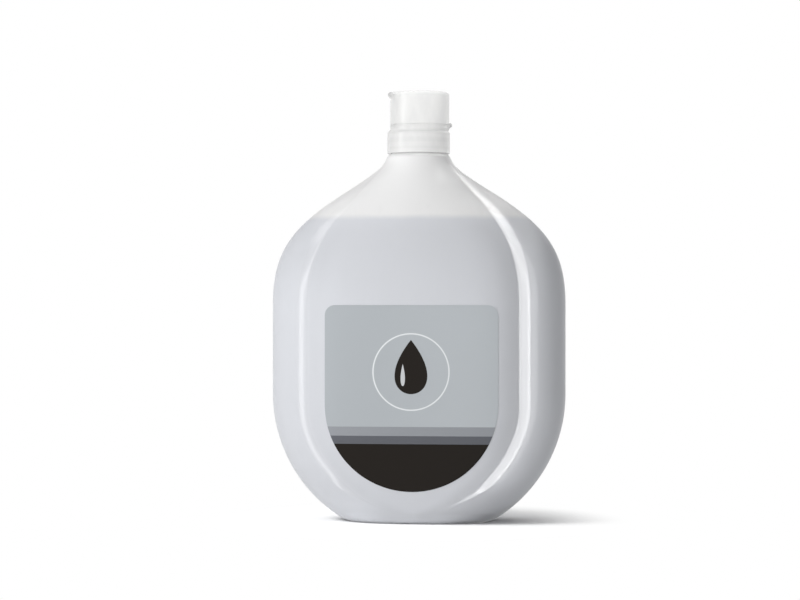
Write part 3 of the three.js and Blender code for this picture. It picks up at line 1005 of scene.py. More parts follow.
@dataclass
class Flask:
    """The blown flask: a lens-shaped body with a creased panel front and back, shoulder, neck and mouth."""

    closure: Closure
    finish: MilkyPlastic
    half_width: float = 74.8
    half_depth: float = 30.5
    shoulder_top: float = 185.5
    side_top: float = 110.0
    shoulder_run: float = 21.5
    shoulder_drop: float = 18.3
    shoulder_pitch: float = math.radians(32.0)
    shoulder_handle: float = 33.5
    side_handle: float = 27.0
    flare_handle: float = 25.0
    flare_lean: float = math.radians(25.0)
    flare_end_handle: float = 4.5
    base_half_length: float = 37.4
    base_half_depth: float = 22.5
    base_edge: float = 2.2
    heel_height: float = 45.0
    foot_width: float = 5.0
    push_up: float = 1.5
    push_up_slope: float = 3.0
    panel_half_width: float = 53.2
    panel_bottom: float = 4.2
    panel_crown: float = 3.1
    panel_curve: float = 1.75
    panel_bowl: float = 58.0
    panel_end_half_width: float = 6.0
    panel_pinch: float = 0.1
    panel_spread: float = 0.27
    panel_roll: float = 0.95
    panel_roll_power: float = 6.0
    panel_roll_end: float = 0.5
    shoulder_crown: float = 9.0
    crease_angle: float = math.radians(16.0)
    crease_fade: float = 20.0
    crease_round: float = 1.2
    rim_handle: float = 0.5
    side_fullness: float = 0.57
    rounding_start: float = 0.7
    neck_crease: float = math.radians(60.0)
    wall: float = 1.0
    neck_root: float = 6.0
    landing_drop: float = 0.4
    landing_rise: float = 0.5
    landing_bevel: float = 0.6
    landing_inset: float = 1.1
    landing_height: float = 1.24
    bead_drops: tuple[float, ...] = (3.6, 2.8, 2.2, 1.4)
    bore_depth: float = 4.5
    neck_step: float = 0.5
    key_side_softness: float = 0.2
    key_end_softness: float = 0.3
    heel_rows: int = 64
    side_rows: int = 24
    shoulder_rows: int = 56
    flare_rows: int = 34
    dome_share: float = 0.35
    dome_rows: int = 5
    foot_rows: int = 9
    edge_rows: int = 9
    inside_every: int = 4
    panel_columns: int = 25
    panel_packing: float = 0.85
    crease_columns: int = 14
    crease_limit: float = 0.3
    side_columns: int = 29

    @property
    def under_rows(self) -> int:
        """Rows of the dome and the foot, which lie under the base's edge."""
        return self.dome_rows - 1 + self.foot_rows

    @property
    def crease_column(self) -> int:
        """Column of a quarter that runs along the crease."""
        return self.panel_columns + self.crease_columns // 2 - 1

    @property
    def heel_centre(self) -> float:
        """Height at which the round lower outline is widest."""
        return math.sqrt(self.half_width ** 2 - self.base_half_length ** 2)

    def outline(self) -> np.ndarray:
        """Half-width and height of the flask's outline seen from the front, from the base's edge up.

        A circle about the heel's centre, a straight side, and two Bezier curves for shoulder and flare.

        Returns:
            Points of half-width and height.
        """
        lowest = -math.asin((self.heel_centre - self.base_edge) / self.half_width)
        heel = np.linspace(lowest, 0.0, self.heel_rows)
        arc = np.stack([np.cos(heel), np.sin(heel)], -1) * self.half_width + (0.0, self.heel_centre)
        side = np.linspace(self.heel_centre, self.side_top, self.side_rows)[1:-1]
        straight = np.stack([np.full_like(side, self.half_width), side], -1)
        skirt = self.closure.skirt_radius
        shoulder = np.array([skirt + self.shoulder_run, self.shoulder_top - self.shoulder_drop])
        pitch = np.array([math.cos(self.shoulder_pitch), -math.sin(self.shoulder_pitch)])
        lean = np.array([math.sin(self.flare_lean), -math.cos(self.flare_lean)])
        top = np.array([skirt, self.shoulder_top])
        lower = bezier(
            np.linspace(0.0, 1.0, self.shoulder_rows)[:, None],
            np.array([self.half_width, self.side_top]),
            np.array([self.half_width, self.side_top + self.side_handle]),
            shoulder + pitch * self.shoulder_handle,
            shoulder,
        )
        upper = bezier(
            np.linspace(0.0, 1.0, self.flare_rows)[1:, None],
            shoulder,
            shoulder - pitch * self.flare_handle,
            top + lean * self.flare_end_handle,
            top,
        )
        return np.concatenate([arc, straight, lower, upper])

    def depth(self, z: np.ndarray) -> np.ndarray:
        """Half the depth on the middle line, narrowing by a cube to the foot and smoothly to the neck.

        Args:
            z: Height.

        Returns:
            The distance along Y.
        """
        heel = np.maximum(0.0, 1.0 - z / self.heel_height) ** 3
        belly = self.half_depth - (self.half_depth - self.base_half_depth) * heel
        rise = smoothstep(z, self.side_top, self.shoulder_top)
        return belly + (self.closure.skirt_radius - belly) * rise

    def rise(self, z: np.ndarray) -> np.ndarray:
        """Share of the shoulder's height, 0 on the straight sides and 1 at the neck."""
        return np.clip((z - self.side_top) / (self.shoulder_top - self.side_top), 0.0, 1.0)

    def crease(self, width: np.ndarray, z: np.ndarray) -> np.ndarray:
        """Half the panel's width: a bowl below, and a share of the outline above the heel's centre.

        The bowl is a superellipse. The share of the outline changes up the shoulder by a square, which
        draws the panel in, and a fourth power, which spreads it again.

        Args:
            width: Half-width of the outline.
            z: Height.

        Returns:
            The distance along X.
        """
        down = np.clip((self.panel_bowl - z) / (self.panel_bowl - self.panel_bottom), 0.0, 1.0)
        bowl = (1.0 - down ** self.panel_curve) ** (1.0 / self.panel_curve)
        lower = np.maximum(self.panel_end_half_width, self.panel_half_width * bowl)
        change = self.panel_spread * self.rise(z) ** 4 - self.panel_pinch * self.rise(z) ** 2
        share = self.panel_half_width / self.half_width + change
        return np.where(z < self.heel_centre, lower, width * share)

    def crown(self, crease: np.ndarray, z: np.ndarray) -> np.ndarray:
        """How far the panel falls to its crease: by the square of its width, and more up the shoulder."""
        across = self.panel_crown * (crease / self.panel_half_width) ** 2
        return across + self.shoulder_crown * self.rise(z) ** 2

    def panel(self, share: np.ndarray, crease: np.ndarray, z: np.ndarray) -> np.ndarray:
        """Distance of the panel from the middle plane.

        The depth less the crown times a mix of the share's square and its high power, so that the panel
        rolls over a little more beside its crease.

        Args:
            share: Share of the way from the middle line to the crease.
            crease: Half the panel's width.
            z: Height.

        Returns:
            The distance along Y.
        """
        roll = self.panel_roll * (1.0 - smoothstep(self.rise(z), 0.0, self.panel_roll_end))
        fall = (1.0 - roll) * share ** 2 + roll * share ** self.panel_roll_power
        return self.depth(z) - self.crown(crease, z) * fall

    def quarter(self, width: np.ndarray, z: np.ndarray) -> np.ndarray:
        """A quarter of each level section: panel, rounded crease and side.

        The side is a cubic Bezier from the crease, starting down by the panel's own fall and the crease's
        angle. The crease is rounded by a quadratic curve. Towards the neck the section turns into an ellipse.

        Args:
            width: Half-width of the outline, one for each row.
            z: Height of each row.

        Returns:
            Points of x and y, as rows by columns by 2.
        """
        width, z = width[:, None], z[:, None]
        crease, rise, depth = self.crease(width, z), self.rise(z), self.depth(z)
        crown = self.crown(crease, z)
        corner = np.stack([crease, depth - crown], -1)
        fade = np.clip((z - self.panel_bottom) / self.crease_fade, 0.0, 1.0)
        fall = np.arctan2(2.0 * crown, crease) + self.crease_angle * fade
        reach = (width - crease) * self.rim_handle
        handles = (
            corner,
            corner + np.stack([reach * np.cos(fall), -reach * np.sin(fall)], -1),
            np.stack([width, corner[..., 1] * self.side_fullness], -1),
            np.stack([width, np.zeros_like(width)], -1),
        )
        short = np.minimum(self.crease_limit, self.crease_round / crease)
        early = np.minimum(self.crease_limit, self.crease_round / np.maximum(3.0 * reach, TINY))
        across = np.linspace(0.0, 1.0, self.panel_columns)[None, :] ** self.panel_packing * (1.0 - short)
        turn = np.linspace(0.0, 1.0, self.crease_columns)[None, 1:-1]
        along = early + np.linspace(0.0, 1.0, self.side_columns)[None, :] * (1.0 - early)
        flat = np.stack([crease * across, self.panel(across, crease, z)], -1)
        side = bezier(along[..., None], *handles)
        bend = bezier(turn[..., None], flat[:, -1:], corner, side[:, :1])
        points = np.concatenate([flat, bend, side], axis=1)
        before = np.minimum(1.0, 2.0 * turn)
        after = np.maximum(0.0, 2.0 * turn - 1.0)
        panel_share = np.concatenate([across, 1.0 - short + short * before, np.ones_like(along)], axis=1)
        side_share = np.concatenate([np.zeros_like(across), early * after, along], axis=1)
        angle = self.neck_crease * panel_share + (math.pi / 2.0 - self.neck_crease) * side_share
        ellipse = np.stack([width * np.sin(angle), depth * np.cos(angle)], -1)
        mix = smoothstep(rise, self.rounding_start, 1.0)[..., None]
        return points + (ellipse - points) * mix

    def gaps(self) -> np.ndarray:
        """Distance of each point of the body's rings from the crease along its ring, negative on the panel.

        The lengths of the steps around a quarter are added up, and the sum at the crease is taken off.

        Returns:
            Distances in millimetres, as rows by columns.
        """
        outline = self.outline()
        quarter = self.quarter(outline[:, 0], outline[:, 1])
        steps = np.linalg.norm(np.diff(quarter, axis=1), axis=-1)
        along = np.concatenate([np.zeros((len(quarter), 1)), np.cumsum(steps, axis=1)], axis=1)
        gap = along - along[:, self.crease_column:self.crease_column + 1]
        inward, outward = gap[:, :0:-1], gap[:, :-1]
        return np.concatenate([inward, outward, inward, outward], axis=1)

    def rings(self, width: np.ndarray, z: np.ndarray, inset: np.ndarray, lift: np.ndarray) -> np.ndarray:
        """Full rings from the quarter section, mirrored in both planes.

        Args:
            width: Half-width of the outline, one for each row.
            z: Height at which the section is taken.
            inset: How far each section is shrunk along X and Y.
            lift: Height at which each ring is placed.

        Returns:
            Points, as rows by columns by 3.
        """
        depth = self.depth(z)
        scale = np.stack([(width - inset) / width, (depth - inset) / depth], -1)[:, None, :]
        quarter = self.quarter(width, z) * scale
        inward, outward = quarter[:, :0:-1], quarter[:, :-1]
        flat = np.concatenate(
            [inward * (1, 1), outward * (-1, 1), inward * (-1, -1), outward * (1, -1)], axis=1
        )
        return np.concatenate([flat, np.broadcast_to(lift[:, None, None], (*flat.shape[:2], 1))], axis=-1)

    def outside(self) -> np.ndarray:
        """Rings of the outside, from the push-up under the base over the foot to the shoulder's top.

        The foot rises into the push-up by a smooth step, and the base's edge is a quarter circle.

        Returns:
            Points, as rows by columns by 3.
        """
        foot = self.base_edge + self.foot_width
        dome = np.linspace(self.dome_share, 0.0, self.dome_rows)[:-1] * self.base_half_depth
        slope = np.linspace(1.0, 0.0, self.foot_rows)
        turn = np.linspace(0.0, math.pi / 2.0, self.edge_rows)[:-1]
        inset = np.concatenate([
            dome + foot + self.push_up_slope,
            foot + self.push_up_slope * slope,
            self.base_edge * (1.0 - np.sin(turn)),
        ])
        lift = np.concatenate([
            np.full_like(dome, self.push_up),
            self.push_up * smoothstep(slope, 0.0, 1.0),
            self.base_edge * (1.0 - np.cos(turn)),
        ])
        taken = np.where(np.arange(len(inset)) < self.under_rows, 0.0, lift)
        width = np.sqrt(self.half_width ** 2 - (self.heel_centre - taken) ** 2)
        under = self.rings(width, taken, inset, lift)
        outline = self.outline()
        body = self.rings(outline[:, 0], outline[:, 1], np.zeros(len(outline)), outline[:, 1])
        return np.concatenate([under, body])

    def neck(self, ring: np.ndarray) -> np.ndarray:
        """Rings of the neck from the shoulder's edge up over the snap bead and mouth and down the bore.

        Each ring has its points at the angles of the shoulder's top ring. The keys that stop the closure
        turning are drawn out of the neck where a point's angle and height fall within one.

        Args:
            ring: The shoulder's top ring.

        Returns:
            Points, as rows by columns by 3.
        """
        closure = self.closure
        radius, bead = closure.neck_radius, closure.neck_radius + closure.bead_proud
        bore = radius - closure.neck_wall
        top = closure.bottom + closure.skirt_height - closure.deck - closure.fit_gap
        landing = self.shoulder_top + self.landing_height
        bead_foot, bead_low, bead_high, bead_head = (top - drop for drop in self.bead_drops)
        corners = np.array([
            [closure.skirt_radius, self.shoulder_top - self.landing_drop],
            [closure.skirt_radius - self.landing_bevel, self.shoulder_top + self.landing_rise],
            [radius + self.landing_inset, landing],
            [radius, landing],
            [radius, bead_foot],
            [bead, bead_low],
            [bead, bead_high],
            [radius, bead_head],
            [radius, top],
            [bore, top],
            [bore, self.shoulder_top - self.bore_depth],
        ])
        rounding = np.array([0.0, 0.3, 0.2, 0.1, 0.3, 0.3, 0.3, 0.3, 0.4, 0.4, 0.0])
        profile = densified(rounded(corners, rounding, closed=False), self.neck_step, closed=False)[1:]
        angle = np.arctan2(ring[:, 1], ring[:, 0])
        radii, heights = profile[:, :1], profile[:, 1:]
        keys = np.zeros_like(angle)
        for side in (0.0, math.pi):
            for spread in (-closure.key_spread, closure.key_spread):
                middle = closure.key_angle + spread + side - math.pi / 2.0
                away = ((angle - middle + math.pi) % (2.0 * math.pi) - math.pi) * radius
                keys = np.maximum(keys, band(away, closure.key_half_width, self.key_side_softness))
        low = closure.bottom + closure.key_lift
        high, soft = low + closure.key_height, self.key_end_softness
        tall = smoothstep(heights, low, low + soft) * (1.0 - smoothstep(heights, high - soft, high))
        outer = radii > (radius + bore) / 2.0
        proud = np.where(outer, closure.bead_proud, 0.0) * tall * keys[None, :]
        reach = radii + proud
        x, y = reach * np.cos(angle), reach * np.sin(angle)
        return np.stack([x, y, np.broadcast_to(heights, x.shape)], axis=-1)

    def shrunk(self, outside: np.ndarray, inset: float, top: float) -> np.ndarray:
        """Rings that lie in from the outside along its normals.

        The normal is the cross product of the steps around and up the grid.

        Args:
            outside: Rings of the outside.
            inset: How far in they lie.
            top: Height of the outside above which rings are left out.

        Returns:
            Rings from the base up.
        """
        around = np.roll(outside, -1, axis=1) - np.roll(outside, 1, axis=1)
        up = np.gradient(outside, axis=0)
        normal = np.cross(around, up)
        normal /= np.maximum(np.linalg.norm(normal, axis=-1, keepdims=True), TINY)
        keep = outside[:, 0, 2] < top
        keep[:self.under_rows] = False
        return (outside - normal * inset)[keep]

    def inside(self, outside: np.ndarray) -> np.ndarray:
        """Rings of the inner wall, one wall's thickness in, from the neck's root down to the base."""
        return self.shrunk(outside, self.wall, self.shoulder_top - self.neck_root)[::-self.inside_every]

    def build(self) -> bpy.types.Object:
        """Builds the flask as one closed skin, dresses it and puts it in place of its CAD node.

        Each point also keeps its distance from the crease, which its finish reads.

        Returns:
            The flask.
        """
        outside = self.outside()
        rows = np.concatenate([outside[:-1], self.neck(outside[-1]), self.inside(outside)])
        first = np.array([0.0, 0.0, self.push_up])
        last = np.array([0.0, 0.0, self.push_up + self.wall])
        points, faces = capped_skin(rows, first, last)
        piece = make_piece("flask", points, faces, self.finish.material())
        body = self.gaps()
        gap = np.full(rows.shape[:2], self.half_width)
        gap[len(outside) - len(body):len(outside) - 1] = body[:-1]
        attribute = piece.data.attributes.new(CREASE_GAP, "FLOAT", "POINT")
        attribute.data.foreach_set("value", np.append(gap.ravel(), [self.half_width] * 2) * MM)
        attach(piece, Body.PACK.value)
        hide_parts("bottle")
        return piece


@dataclass
class Gel:
    """The gel in the flask, up to its level."""

    flask: Flask
    finish: SoapGel
    level: float = 154.1
    gap: float = 0.25
    top_share: float = 0.96

    def build(self) -> bpy.types.Object:
        """Builds the gel as a closed skin just inside the flask's wall.

        Returns:
            The gel, which stands in place of its CAD node.
        """
        inset = self.flask.wall + self.gap
        rows = self.flask.shrunk(self.flask.outside(), inset, self.level)
        top = rows[-1:] * (self.top_share, self.top_share, 0.0) + (0.0, 0.0, self.level)
        rows = np.concatenate([rows[:-1:self.flask.inside_every], rows[-1:], top])
        first = np.array([0.0, 0.0, self.flask.push_up + inset])
        last = np.array([0.0, 0.0, self.level])
        points, faces = capped_skin(rows, first, last)
        piece = make_piece("gel_fill", points, faces, self.finish.material())
        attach(piece, Body.PACK.value)
        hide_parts("soap_gel")
        return piece


@dataclass
class FrontLabel:
    """The film label that lies on the flask's front panel."""

    flask: Flask
    finish: LabelFilm
    half_width: float = 43.4
    shift: float = -0.6
    top: float = 109.7
    bottom: float = 16.7
    corner: float = 5.0
    lift: float = 0.04
    thickness: float = 0.14
    bowl_start: float = 0.02
    bowl_rows: int = 48
    side_rows: int = 24
    corner_rows: int = 14
    columns: int = 65

    def build(self) -> bpy.types.Object:
        """Builds the label as a closed sheet and puts it in place of its CAD node.

        Its half-width at each height is that of a half circle at the bottom, straight sides, and two small
        quarter circles at the top. Its back follows the panel at a small lift.

        Returns:
            The label.
        """
        bowl = self.bottom + self.half_width
        low = np.linspace(self.bowl_start, math.pi / 2.0, self.bowl_rows)
        high = np.linspace(0.0, math.pi / 2.0, self.corner_rows)[1:]
        straight = np.linspace(bowl, self.top - self.corner, self.side_rows)[1:]
        z = np.concatenate([
            bowl - self.half_width * np.cos(low),
            straight,
            self.top - self.corner * (1.0 - np.sin(high)),
        ])
        half = np.concatenate([
            self.half_width * np.sin(low),
            np.full_like(straight, self.half_width),
            self.half_width - self.corner * (1.0 - np.cos(high)),
        ])
        x = self.shift + half[:, None] * np.linspace(-1.0, 1.0, self.columns)[None, :]
        height = np.broadcast_to(z[:, None], x.shape)
        crease = self.flask.crease(np.full_like(height, self.flask.half_width), height)
        face = self.flask.panel(np.abs(x) / crease, crease, height)
        back = np.stack([x, -face - self.lift, height], -1)
        front = np.stack([x, -face - self.lift - self.thickness, height], -1)
        points, faces = thick_sheet(front, back)
        piece = make_piece("front_label_film", points, faces, self.finish.material())
        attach(piece, Body.PACK.value)
        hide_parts("front_label")
        return piece


@dataclass
class ClosureBase:
    """The closure's lower half: skirt, deck, pour spout, seal ring and the offset collar for the lid."""

    closure: Closure
    material: bpy.types.Material
    columns: int = 192
    profile_step: float = 0.5
    step_drops: Span = (1.1, 0.2)
    step_bevel: float = 0.75
    step_rise: float = 0.8
    rim_wall: float = 1.0
    rim_height: float = 1.3
    spout_radius: float = 6.65
    seal_reach: float = 3.6
    seal_wall: float = 1.0
    catch_proud: float = 0.7
    catch_top: float = 6.1

    def build(self) -> bpy.types.Object:
        """Builds the half as one turned ring and puts it in place of its CAD node.

        The profile gives a radius, a height and the offset of its axis, so the collar's rings lie
        off the skirt's axis by the lid's offset.

        Returns:
            The closure's lower half.
        """
        c = self.closure
        rim = c.lid_radius - c.lid_wall - c.fit_gap
        seal = c.neck_radius - c.neck_wall - c.fit_gap
        deck = c.bottom + c.skirt_height
        under = deck - c.deck
        catch = c.bottom + self.catch_top
        off = c.lid_offset
        rim_bore, rim_top = rim - self.rim_wall, c.parting + self.rim_height
        seal_bore, seal_foot = seal - self.seal_wall, under - self.seal_reach
        step_low, step_high = (deck - drop for drop in self.step_drops)
        corners = np.array([
            [c.skirt_bore, c.bottom, 0.0], [c.skirt_radius, c.bottom, 0.0],
            [c.skirt_radius, step_low, 0.0], [c.skirt_radius - self.step_bevel, step_high, 0.0],
            [c.lid_radius, deck + self.step_rise, off], [c.lid_radius, c.parting, off],
            [rim, c.parting, off], [rim, rim_top, off], [rim_bore, rim_top, off], [rim_bore, deck, off],
            [self.spout_radius, deck, 0.0], [self.spout_radius, c.spout_top, 0.0],
            [c.spout_bore, c.spout_top, 0.0], [c.spout_bore, under, 0.0],
            [seal_bore, under, 0.0], [seal_bore, seal_foot, 0.0], [seal, seal_foot, 0.0], [seal, under, 0.0],
            [c.skirt_bore, under, 0.0], [c.skirt_bore, catch, 0.0],
            [c.skirt_bore - self.catch_proud, catch - self.catch_proud, 0.0],
            [c.skirt_bore, catch - 2.0 * self.catch_proud, 0.0],
        ])
        rounding = np.array([
            0.15, 0.15, 0.4, 0.45, 0.6, 0.15, 0.1, 0.3, 0.3, 0.3, 0.4,
            0.8, 0.8, 0.3, 0.2, 0.2, 0.3, 0.2, 0.2, 0.2, 0.3, 0.2,
        ])
        profile = densified(rounded(corners, rounding, steps=5), self.profile_step)
        rows = c.wedge(turned(profile, self.columns), c.parting, -1.0)
        points, faces = ring_skin(rows)
        piece = make_piece("closure_skirt_and_spout", points, faces, self.material)
        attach(piece, Body.PACK.value)
        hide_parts("closure_base")
        return piece


@dataclass
class FlipLid:
    """The closure's upper half: a cup with a rounded top edge, sealing plug and thumb lip."""

    closure: Closure
    material: bpy.types.Material
    columns: int = 256
    profile_step: float = 0.35
    pole_radius: float = 0.05
    edge: float = 1.1
    edge_rounding: float = 1.43
    parting_gap: float = 0.04
    plug_wall: float = 1.0
    plug_taper: float = 0.65
    plug_reach: float = 1.2
    lip_proud: float = 1.15
    lip_drops: tuple[float, ...] = (3.2, 1.7, 0.7, 0.35, 0.1, 0.0)
    lip_shares: tuple[float, ...] = (0.0, 1.0, 1.0, 0.88, 0.62, 0.3)
    lip_half_width: float = 7.0
    lip_blend: float = 1.5

    def lip(self, rows: np.ndarray) -> np.ndarray:
        """Draws the thumb lip out of the lid's wall opposite the hinge.

        Within the lip's width, a point moves out to the lip's own radius at its height if that is larger.
        That radius swells from the wall at the lip's foot and rounds off at the lid's top.

        Args:
            rows: Rings of the lid.

        Returns:
            The rings with the lip.
        """
        c = self.closure
        x, y, z = rows[..., 0] - c.lid_offset, rows[..., 1], rows[..., 2]
        radius = np.hypot(x, y)
        heights = c.lid_top - np.array(self.lip_drops)
        lip = c.lid_radius + np.interp(z, heights, np.array(self.lip_shares) * self.lip_proud)
        inside = band(y, self.lip_half_width, self.lip_blend)
        near = (x < 0.0) & (z > heights[0]) & (radius > c.lid_radius - self.edge)
        scale = 1.0 + np.where(near, np.maximum(lip - radius, 0.0) * inside, 0.0) / np.maximum(radius, TINY)
        return np.stack([x * scale + c.lid_offset, y * scale, z], axis=-1)

    def build(self) -> bpy.types.Object:
        """Builds the lid as one turned skin from pole to pole and puts it in place of its CAD node.

        Returns:
            The lid.
        """
        c = self.closure
        off = c.lid_offset
        bottom, roof = c.parting + self.parting_gap, c.lid_top - c.lid_roof
        plug, tip = c.spout_bore - c.fit_gap, c.spout_top - self.plug_reach
        bore, plug_bore = c.lid_radius - c.lid_wall, plug - self.plug_wall
        corners = np.array([
            [self.pole_radius, roof, 0.0], [plug_bore, roof, 0.0], [plug_bore, tip, 0.0],
            [plug - self.plug_taper, tip, 0.0], [plug, c.spout_top, 0.0], [plug, roof, 0.0],
            [bore, roof, off], [bore, bottom, off], [c.lid_radius, bottom, off],
            [c.lid_radius, c.lid_top, off], [self.pole_radius, c.lid_top, off],
        ])
        rounding = np.array([0.0, 0.3, 0.12, 0.12, 0.3, 0.3, 0.6, 0.12, 0.15, self.edge_rounding, 0.0])
        smooth = rounded(corners, rounding, steps=9, closed=False)
        profile = densified(smooth, self.profile_step, closed=False)
        rows = c.wedge(self.lip(turned(profile, self.columns)), bottom, 1.0)
        points, faces = capped_skin(rows, np.array([0.0, 0.0, roof]), np.array([off, 0.0, c.lid_top]))
        piece = make_piece("flip_lid_cup", points, faces, self.material)
        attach(piece, Body.LID.value)
        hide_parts("flip_lid")
        return piece


@dataclass
class HingeStrap:
    """The thin film of the living hinge, which bends as the lid opens."""

    closure: Closure
    material: bpy.types.Material
    half_width: float = 4.5
    reach: float = 0.5
    thickness: float = 0.16
    inset: float = 0.03
    bow: float = 0.05
    bend_share: float = 0.8
    rows: int = 21
    columns: int = 19

    def build(self) -> bpy.types.Object:
        """Builds the strap as a closed sheet that bows out across the parting.

        Its middle line runs up at the hinge line and bows out by a cosine hump.

        Returns:
            The strap.
        """
        c = self.closure
        middle = c.parting + c.fit_gap / 2.0
        span = c.fit_gap / 2.0 + self.reach
        share = np.linspace(-1.0, 1.0, self.rows)[:, None]
        y = np.linspace(-self.half_width, self.half_width, self.columns)[None, :]
        bow = 0.5 * (1.0 + np.cos(math.pi * share)) * self.bow
        x, y, z = np.broadcast_arrays(c.hinge_x - self.inset + bow, y, middle + share * span)
        back = np.stack([x, y, z], axis=-1)
        front = back + np.array([self.thickness, 0.0, 0.0])
        points, faces = thick_sheet(front, back)
        piece = make_piece("living_hinge_film", points, faces, self.material)
        start = (c.hinge_x * MM, 0.0, (middle - span * self.bend_share) * MM)
        end = (c.hinge_x * MM, 0.0, (middle + span * self.bend_share) * MM)
        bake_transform(piece)
        return piece


@dataclass(frozen=True)
class Lamp:
    """A soft box of the studio, aimed at the pack's middle.

    Only what it lights casts a shadow from a lamp for gloss, so that the floor never hides one.
    """

    name: str
    azimuth: float
    elevation: float
    distance: float
    width: float
    height: float
    power: float
    lit: Lit
    rays: Rays = Rays.MATT_ONLY

    def build(self, aim: Vector, lit: bpy.types.Collection) -> None:
        """Places the lamp. Its azimuth runs from the front towards +X, in degrees.

        Args:
            aim: The point that the lamp faces.
            lit: The objects that it lights.
        """
        light = bpy.data.lights.new(self.name, "AREA")
        light.shape = "RECTANGLE"
        light.size, light.size_y, light.energy = self.width, self.height, self.power
        lamp = bpy.data.objects.new(self.name, light)
        bpy.context.collection.objects.link(lamp)
        turn, up = math.radians(self.azimuth), math.radians(self.elevation)
        back = Vector((math.sin(turn) * math.cos(up), -math.cos(turn) * math.cos(up), math.sin(up)))
        lamp.location = aim + back * self.distance
        lamp.rotation_mode = "QUATERNION"
        lamp.rotation_quaternion = back.to_track_quat("Z", "Y")
        lamp.visible_diffuse = self.rays is Rays.MATT_ONLY
        lamp.visible_glossy = self.rays is Rays.GLOSS_ONLY
        lamp.visible_camera = False
        lamp.light_linking.receiver_collection = lit
        if self.rays is Rays.GLOSS_ONLY:
            lamp.light_linking.blocker_collection = lit


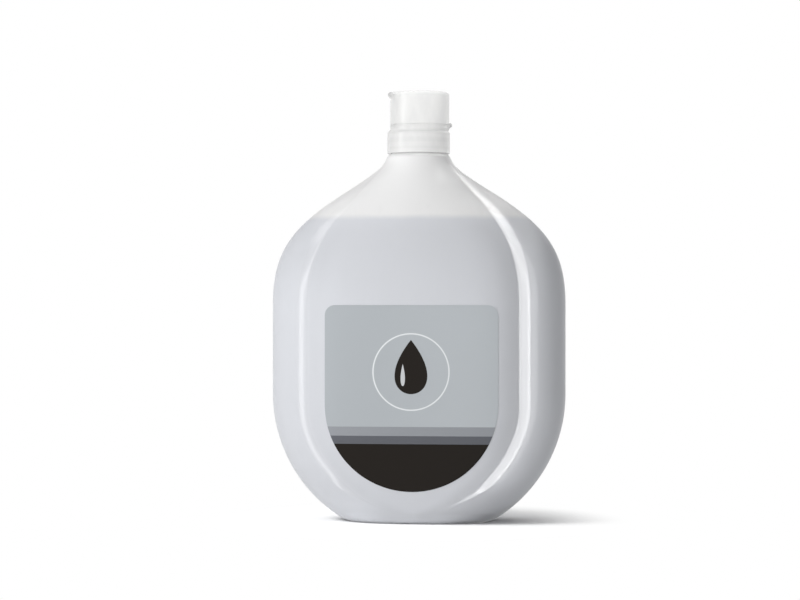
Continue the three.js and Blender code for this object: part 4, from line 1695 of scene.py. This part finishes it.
@dataclass
class Studio:
    """Floor, backdrop, lamps and camera."""

    camera_azimuth: float = 6.0
    camera_distance: float = 1.2
    camera_height: float = 0.1123
    aim_left: float = 0.00947
    lens: float = 105.9
    ambient: float = 0.28
    floor_tone: float = 0.66
    floor_seen: float = 0.95
    floor_fade: Span = (0.058, 0.108)
    floor_half: float = 9.0
    floor_grain: float = 0.01
    floor_grain_scale: float = 30.0
    sensor: float = 36.0
    clip: Span = (0.01, 100.0)
    aim_height: float = 0.11
    lamps: tuple[Lamp, ...] = (
        Lamp("key_box", -35.0, -2.0, 0.42, 0.25, 0.5, 1.65, Lit.PACK),
        Lamp("shoulder_fill", 60.0, 60.0, 1.0, 0.6, 0.6, 0.95, Lit.FLASK),
        Lamp("left_fill", -75.0, 45.0, 1.0, 0.6, 0.6, 0.8, Lit.FLASK),
        Lamp("back_fill", 180.0, 25.0, 1.2, 0.8, 0.8, 5.0, Lit.PACK),
        Lamp("back_box", 180.0, 15.0, 1.2, 0.8, 0.8, 3.2, Lit.FLASK),
        Lamp("left_strip", -61.0, 5.0, 1.3, 0.12, 4.0, 5.0, Lit.FLASK, Rays.GLOSS_ONLY),
        Lamp("right_strip", 46.5, 5.0, 1.3, 0.84, 4.0, 76.0, Lit.FLASK, Rays.GLOSS_ONLY),
        Lamp("right_edge", 52.0, 5.0, 1.3, 0.06, 4.0, 3.0, Lit.FLASK, Rays.GLOSS_ONLY),
        Lamp("foot_strip", 20.0, -60.0, 1.3, 0.65, 0.44, 4.6, Lit.FLASK, Rays.GLOSS_ONLY),
        Lamp("side_strip", 82.0, 5.0, 1.3, 0.8, 4.0, 7.0, Lit.FLASK, Rays.GLOSS_ONLY),
        Lamp("left_upper", -80.0, 52.0, 1.3, 0.3, 0.45, 0.8, Lit.FLASK, Rays.GLOSS_ONLY),
        Lamp("bridge_strip", 62.0, 53.0, 1.3, 0.7, 0.4, 1.0, Lit.FLASK, Rays.GLOSS_ONLY),
        Lamp("upper_strip", 112.0, 52.0, 1.3, 1.2, 0.6, 14.0, Lit.FLASK, Rays.GLOSS_ONLY),
        Lamp("closure_strip", -62.0, 4.0, 1.0, 0.26, 1.0, 4.8, Lit.CLOSURE, Rays.GLOSS_ONLY),
        Lamp("closure_fill", 44.0, 50.0, 1.0, 0.6, 0.6, 9.2, Lit.CLOSURE),
        Lamp("closure_left", -80.0, 20.0, 1.0, 0.6, 0.6, 1.9, Lit.CLOSURE),
        Lamp("floor_box", -60.0, 38.0, 1.2, 0.5, 0.5, 13.0, Lit.FLOOR),
        Lamp("floor_fill", -45.0, 86.0, 1.2, 2.0, 2.0, 12.4, Lit.FLOOR),
    )

    def world(self) -> None:
        """White to the camera, to gloss and through clear pieces, and a plain level for all else."""
        world = bpy.data.worlds.new("studio")
        bpy.context.scene.world = world
        world.use_nodes = True
        bench = Bench(world.node_tree)
        rays = [
            bench.node("ShaderNodeLightPath", {}, {}, output=kind)
            for kind in ("Is Camera Ray", "Is Glossy Ray", "Is Transmission Ray")
        ]
        seen = bench.math("MAXIMUM", bench.math("MAXIMUM", rays[0], rays[1]), rays[2])
        strength = self.ambient + seen * (1.0 - self.ambient)
        shader = bench.node("ShaderNodeBackground", {}, {"Color": WHITE, "Strength": strength})
        bench.finish(shader, "ShaderNodeOutputWorld")

    def floor(self) -> bpy.types.Object:
        """A wide pale floor, which turns white for the camera away from the pack's shadow.

        Returns:
            The floor.
        """
        corners = np.array([[-1, -1, 0], [1, -1, 0], [1, 1, 0], [-1, 1, 0]]) * self.floor_half
        mesh = bpy.data.meshes.new("floor")
        mesh.from_pydata(corners.tolist(), [], [(0, 1, 2, 3)])
        material, bench = new_material("floor_paper")
        where, x, y, _ = bench.object_axes()
        grain = 1.0 + (bench.noise(where, self.floor_grain_scale) - NOISE_MIDDLE) * self.floor_grain
        seen = bench.node("ShaderNodeLightPath", {}, {}, output="Is Camera Ray")
        tone = self.floor_tone + seen * (self.floor_seen - self.floor_tone)
        paper = bench.shade(WHITE, grain * tone)
        near = bench.node("ShaderNodeBsdfDiffuse", {}, {"Color": paper})
        far = bench.node("ShaderNodeEmission", {}, {"Color": WHITE, "Strength": 1.0})
        away = ((x * x + y * y) ** 0.5).above(*self.floor_fade) * seen
        bench.finish(bench.node("ShaderNodeMixShader", {}, {0: away, 1: near, 2: far}))
        mesh.materials.append(material)
        floor = bpy.data.objects.new("floor", mesh)
        bpy.context.collection.objects.link(floor)
        floor.visible_glossy = False
        return floor

    def camera(self) -> None:
        """A level camera at the photograph's angle, aimed a little left of the pack."""
        turn = math.radians(self.camera_azimuth)
        back = Vector((math.sin(turn), -math.cos(turn), 0.0))
        right = Vector((math.cos(turn), math.sin(turn), 0.0))
        lens = bpy.data.cameras.new("camera")
        lens.lens, lens.sensor_width = self.lens, self.sensor
        lens.clip_start, lens.clip_end = self.clip
        camera = bpy.data.objects.new("camera", lens)
        bpy.context.collection.objects.link(camera)
        height = Vector((0.0, 0.0, self.camera_height))
        camera.location = back * self.camera_distance + height
        look = height - right * self.aim_left - camera.location
        camera.rotation_mode = "QUATERNION"
        camera.rotation_quaternion = look.to_track_quat("-Z", "Y")
        bpy.context.scene.camera = camera

    def build(self, pieces: dict[Lit, list[bpy.types.Object]]) -> None:
        """Builds the whole studio.

        Args:
            pieces: The pieces of the pack, by what lights them.
        """
        self.world()
        groups = {}
        for lit, objects in {**pieces, Lit.FLOOR: [self.floor()]}.items():
            groups[lit] = bpy.data.collections.new(lit.value)
            for item in objects:
                groups[lit].objects.link(item)
        aim = Vector((0.0, 0.0, self.aim_height))
        for lamp in self.lamps:
            lamp.build(aim, groups[lamp.lit])
        self.camera()
        bpy.context.scene.view_settings.view_transform = "Standard"


def main() -> None:
    """Builds the pack's pieces and the studio."""
    logging.basicConfig(level=logging.INFO, format="%(name)s: %(message)s")
    closure = Closure()
    flask = Flask(closure, MilkyPlastic())
    plastic = ClosurePlastic().material()
    makers: dict[Lit, tuple[Callable[[], bpy.types.Object], ...]] = {
        Lit.FLASK: (flask.build,),
        Lit.CLOSURE: (
            ClosureBase(closure, plastic).build,
            FlipLid(closure, plastic).build,
            HingeStrap(closure, plastic).build,
        ),
        Lit.PACK: (Gel(flask, SoapGel()).build, FrontLabel(flask, LabelFilm()).build),
    }
    pieces = {lit: [maker() for maker in group] for lit, group in makers.items()}
    for piece in sum(pieces.values(), []):
        log.info("%s: %d faces", piece.name, len(piece.data.polygons))
    pieces[Lit.PACK] = sum(pieces.values(), [])
    Studio().build(pieces)


if __name__ == "__main__":
    main()
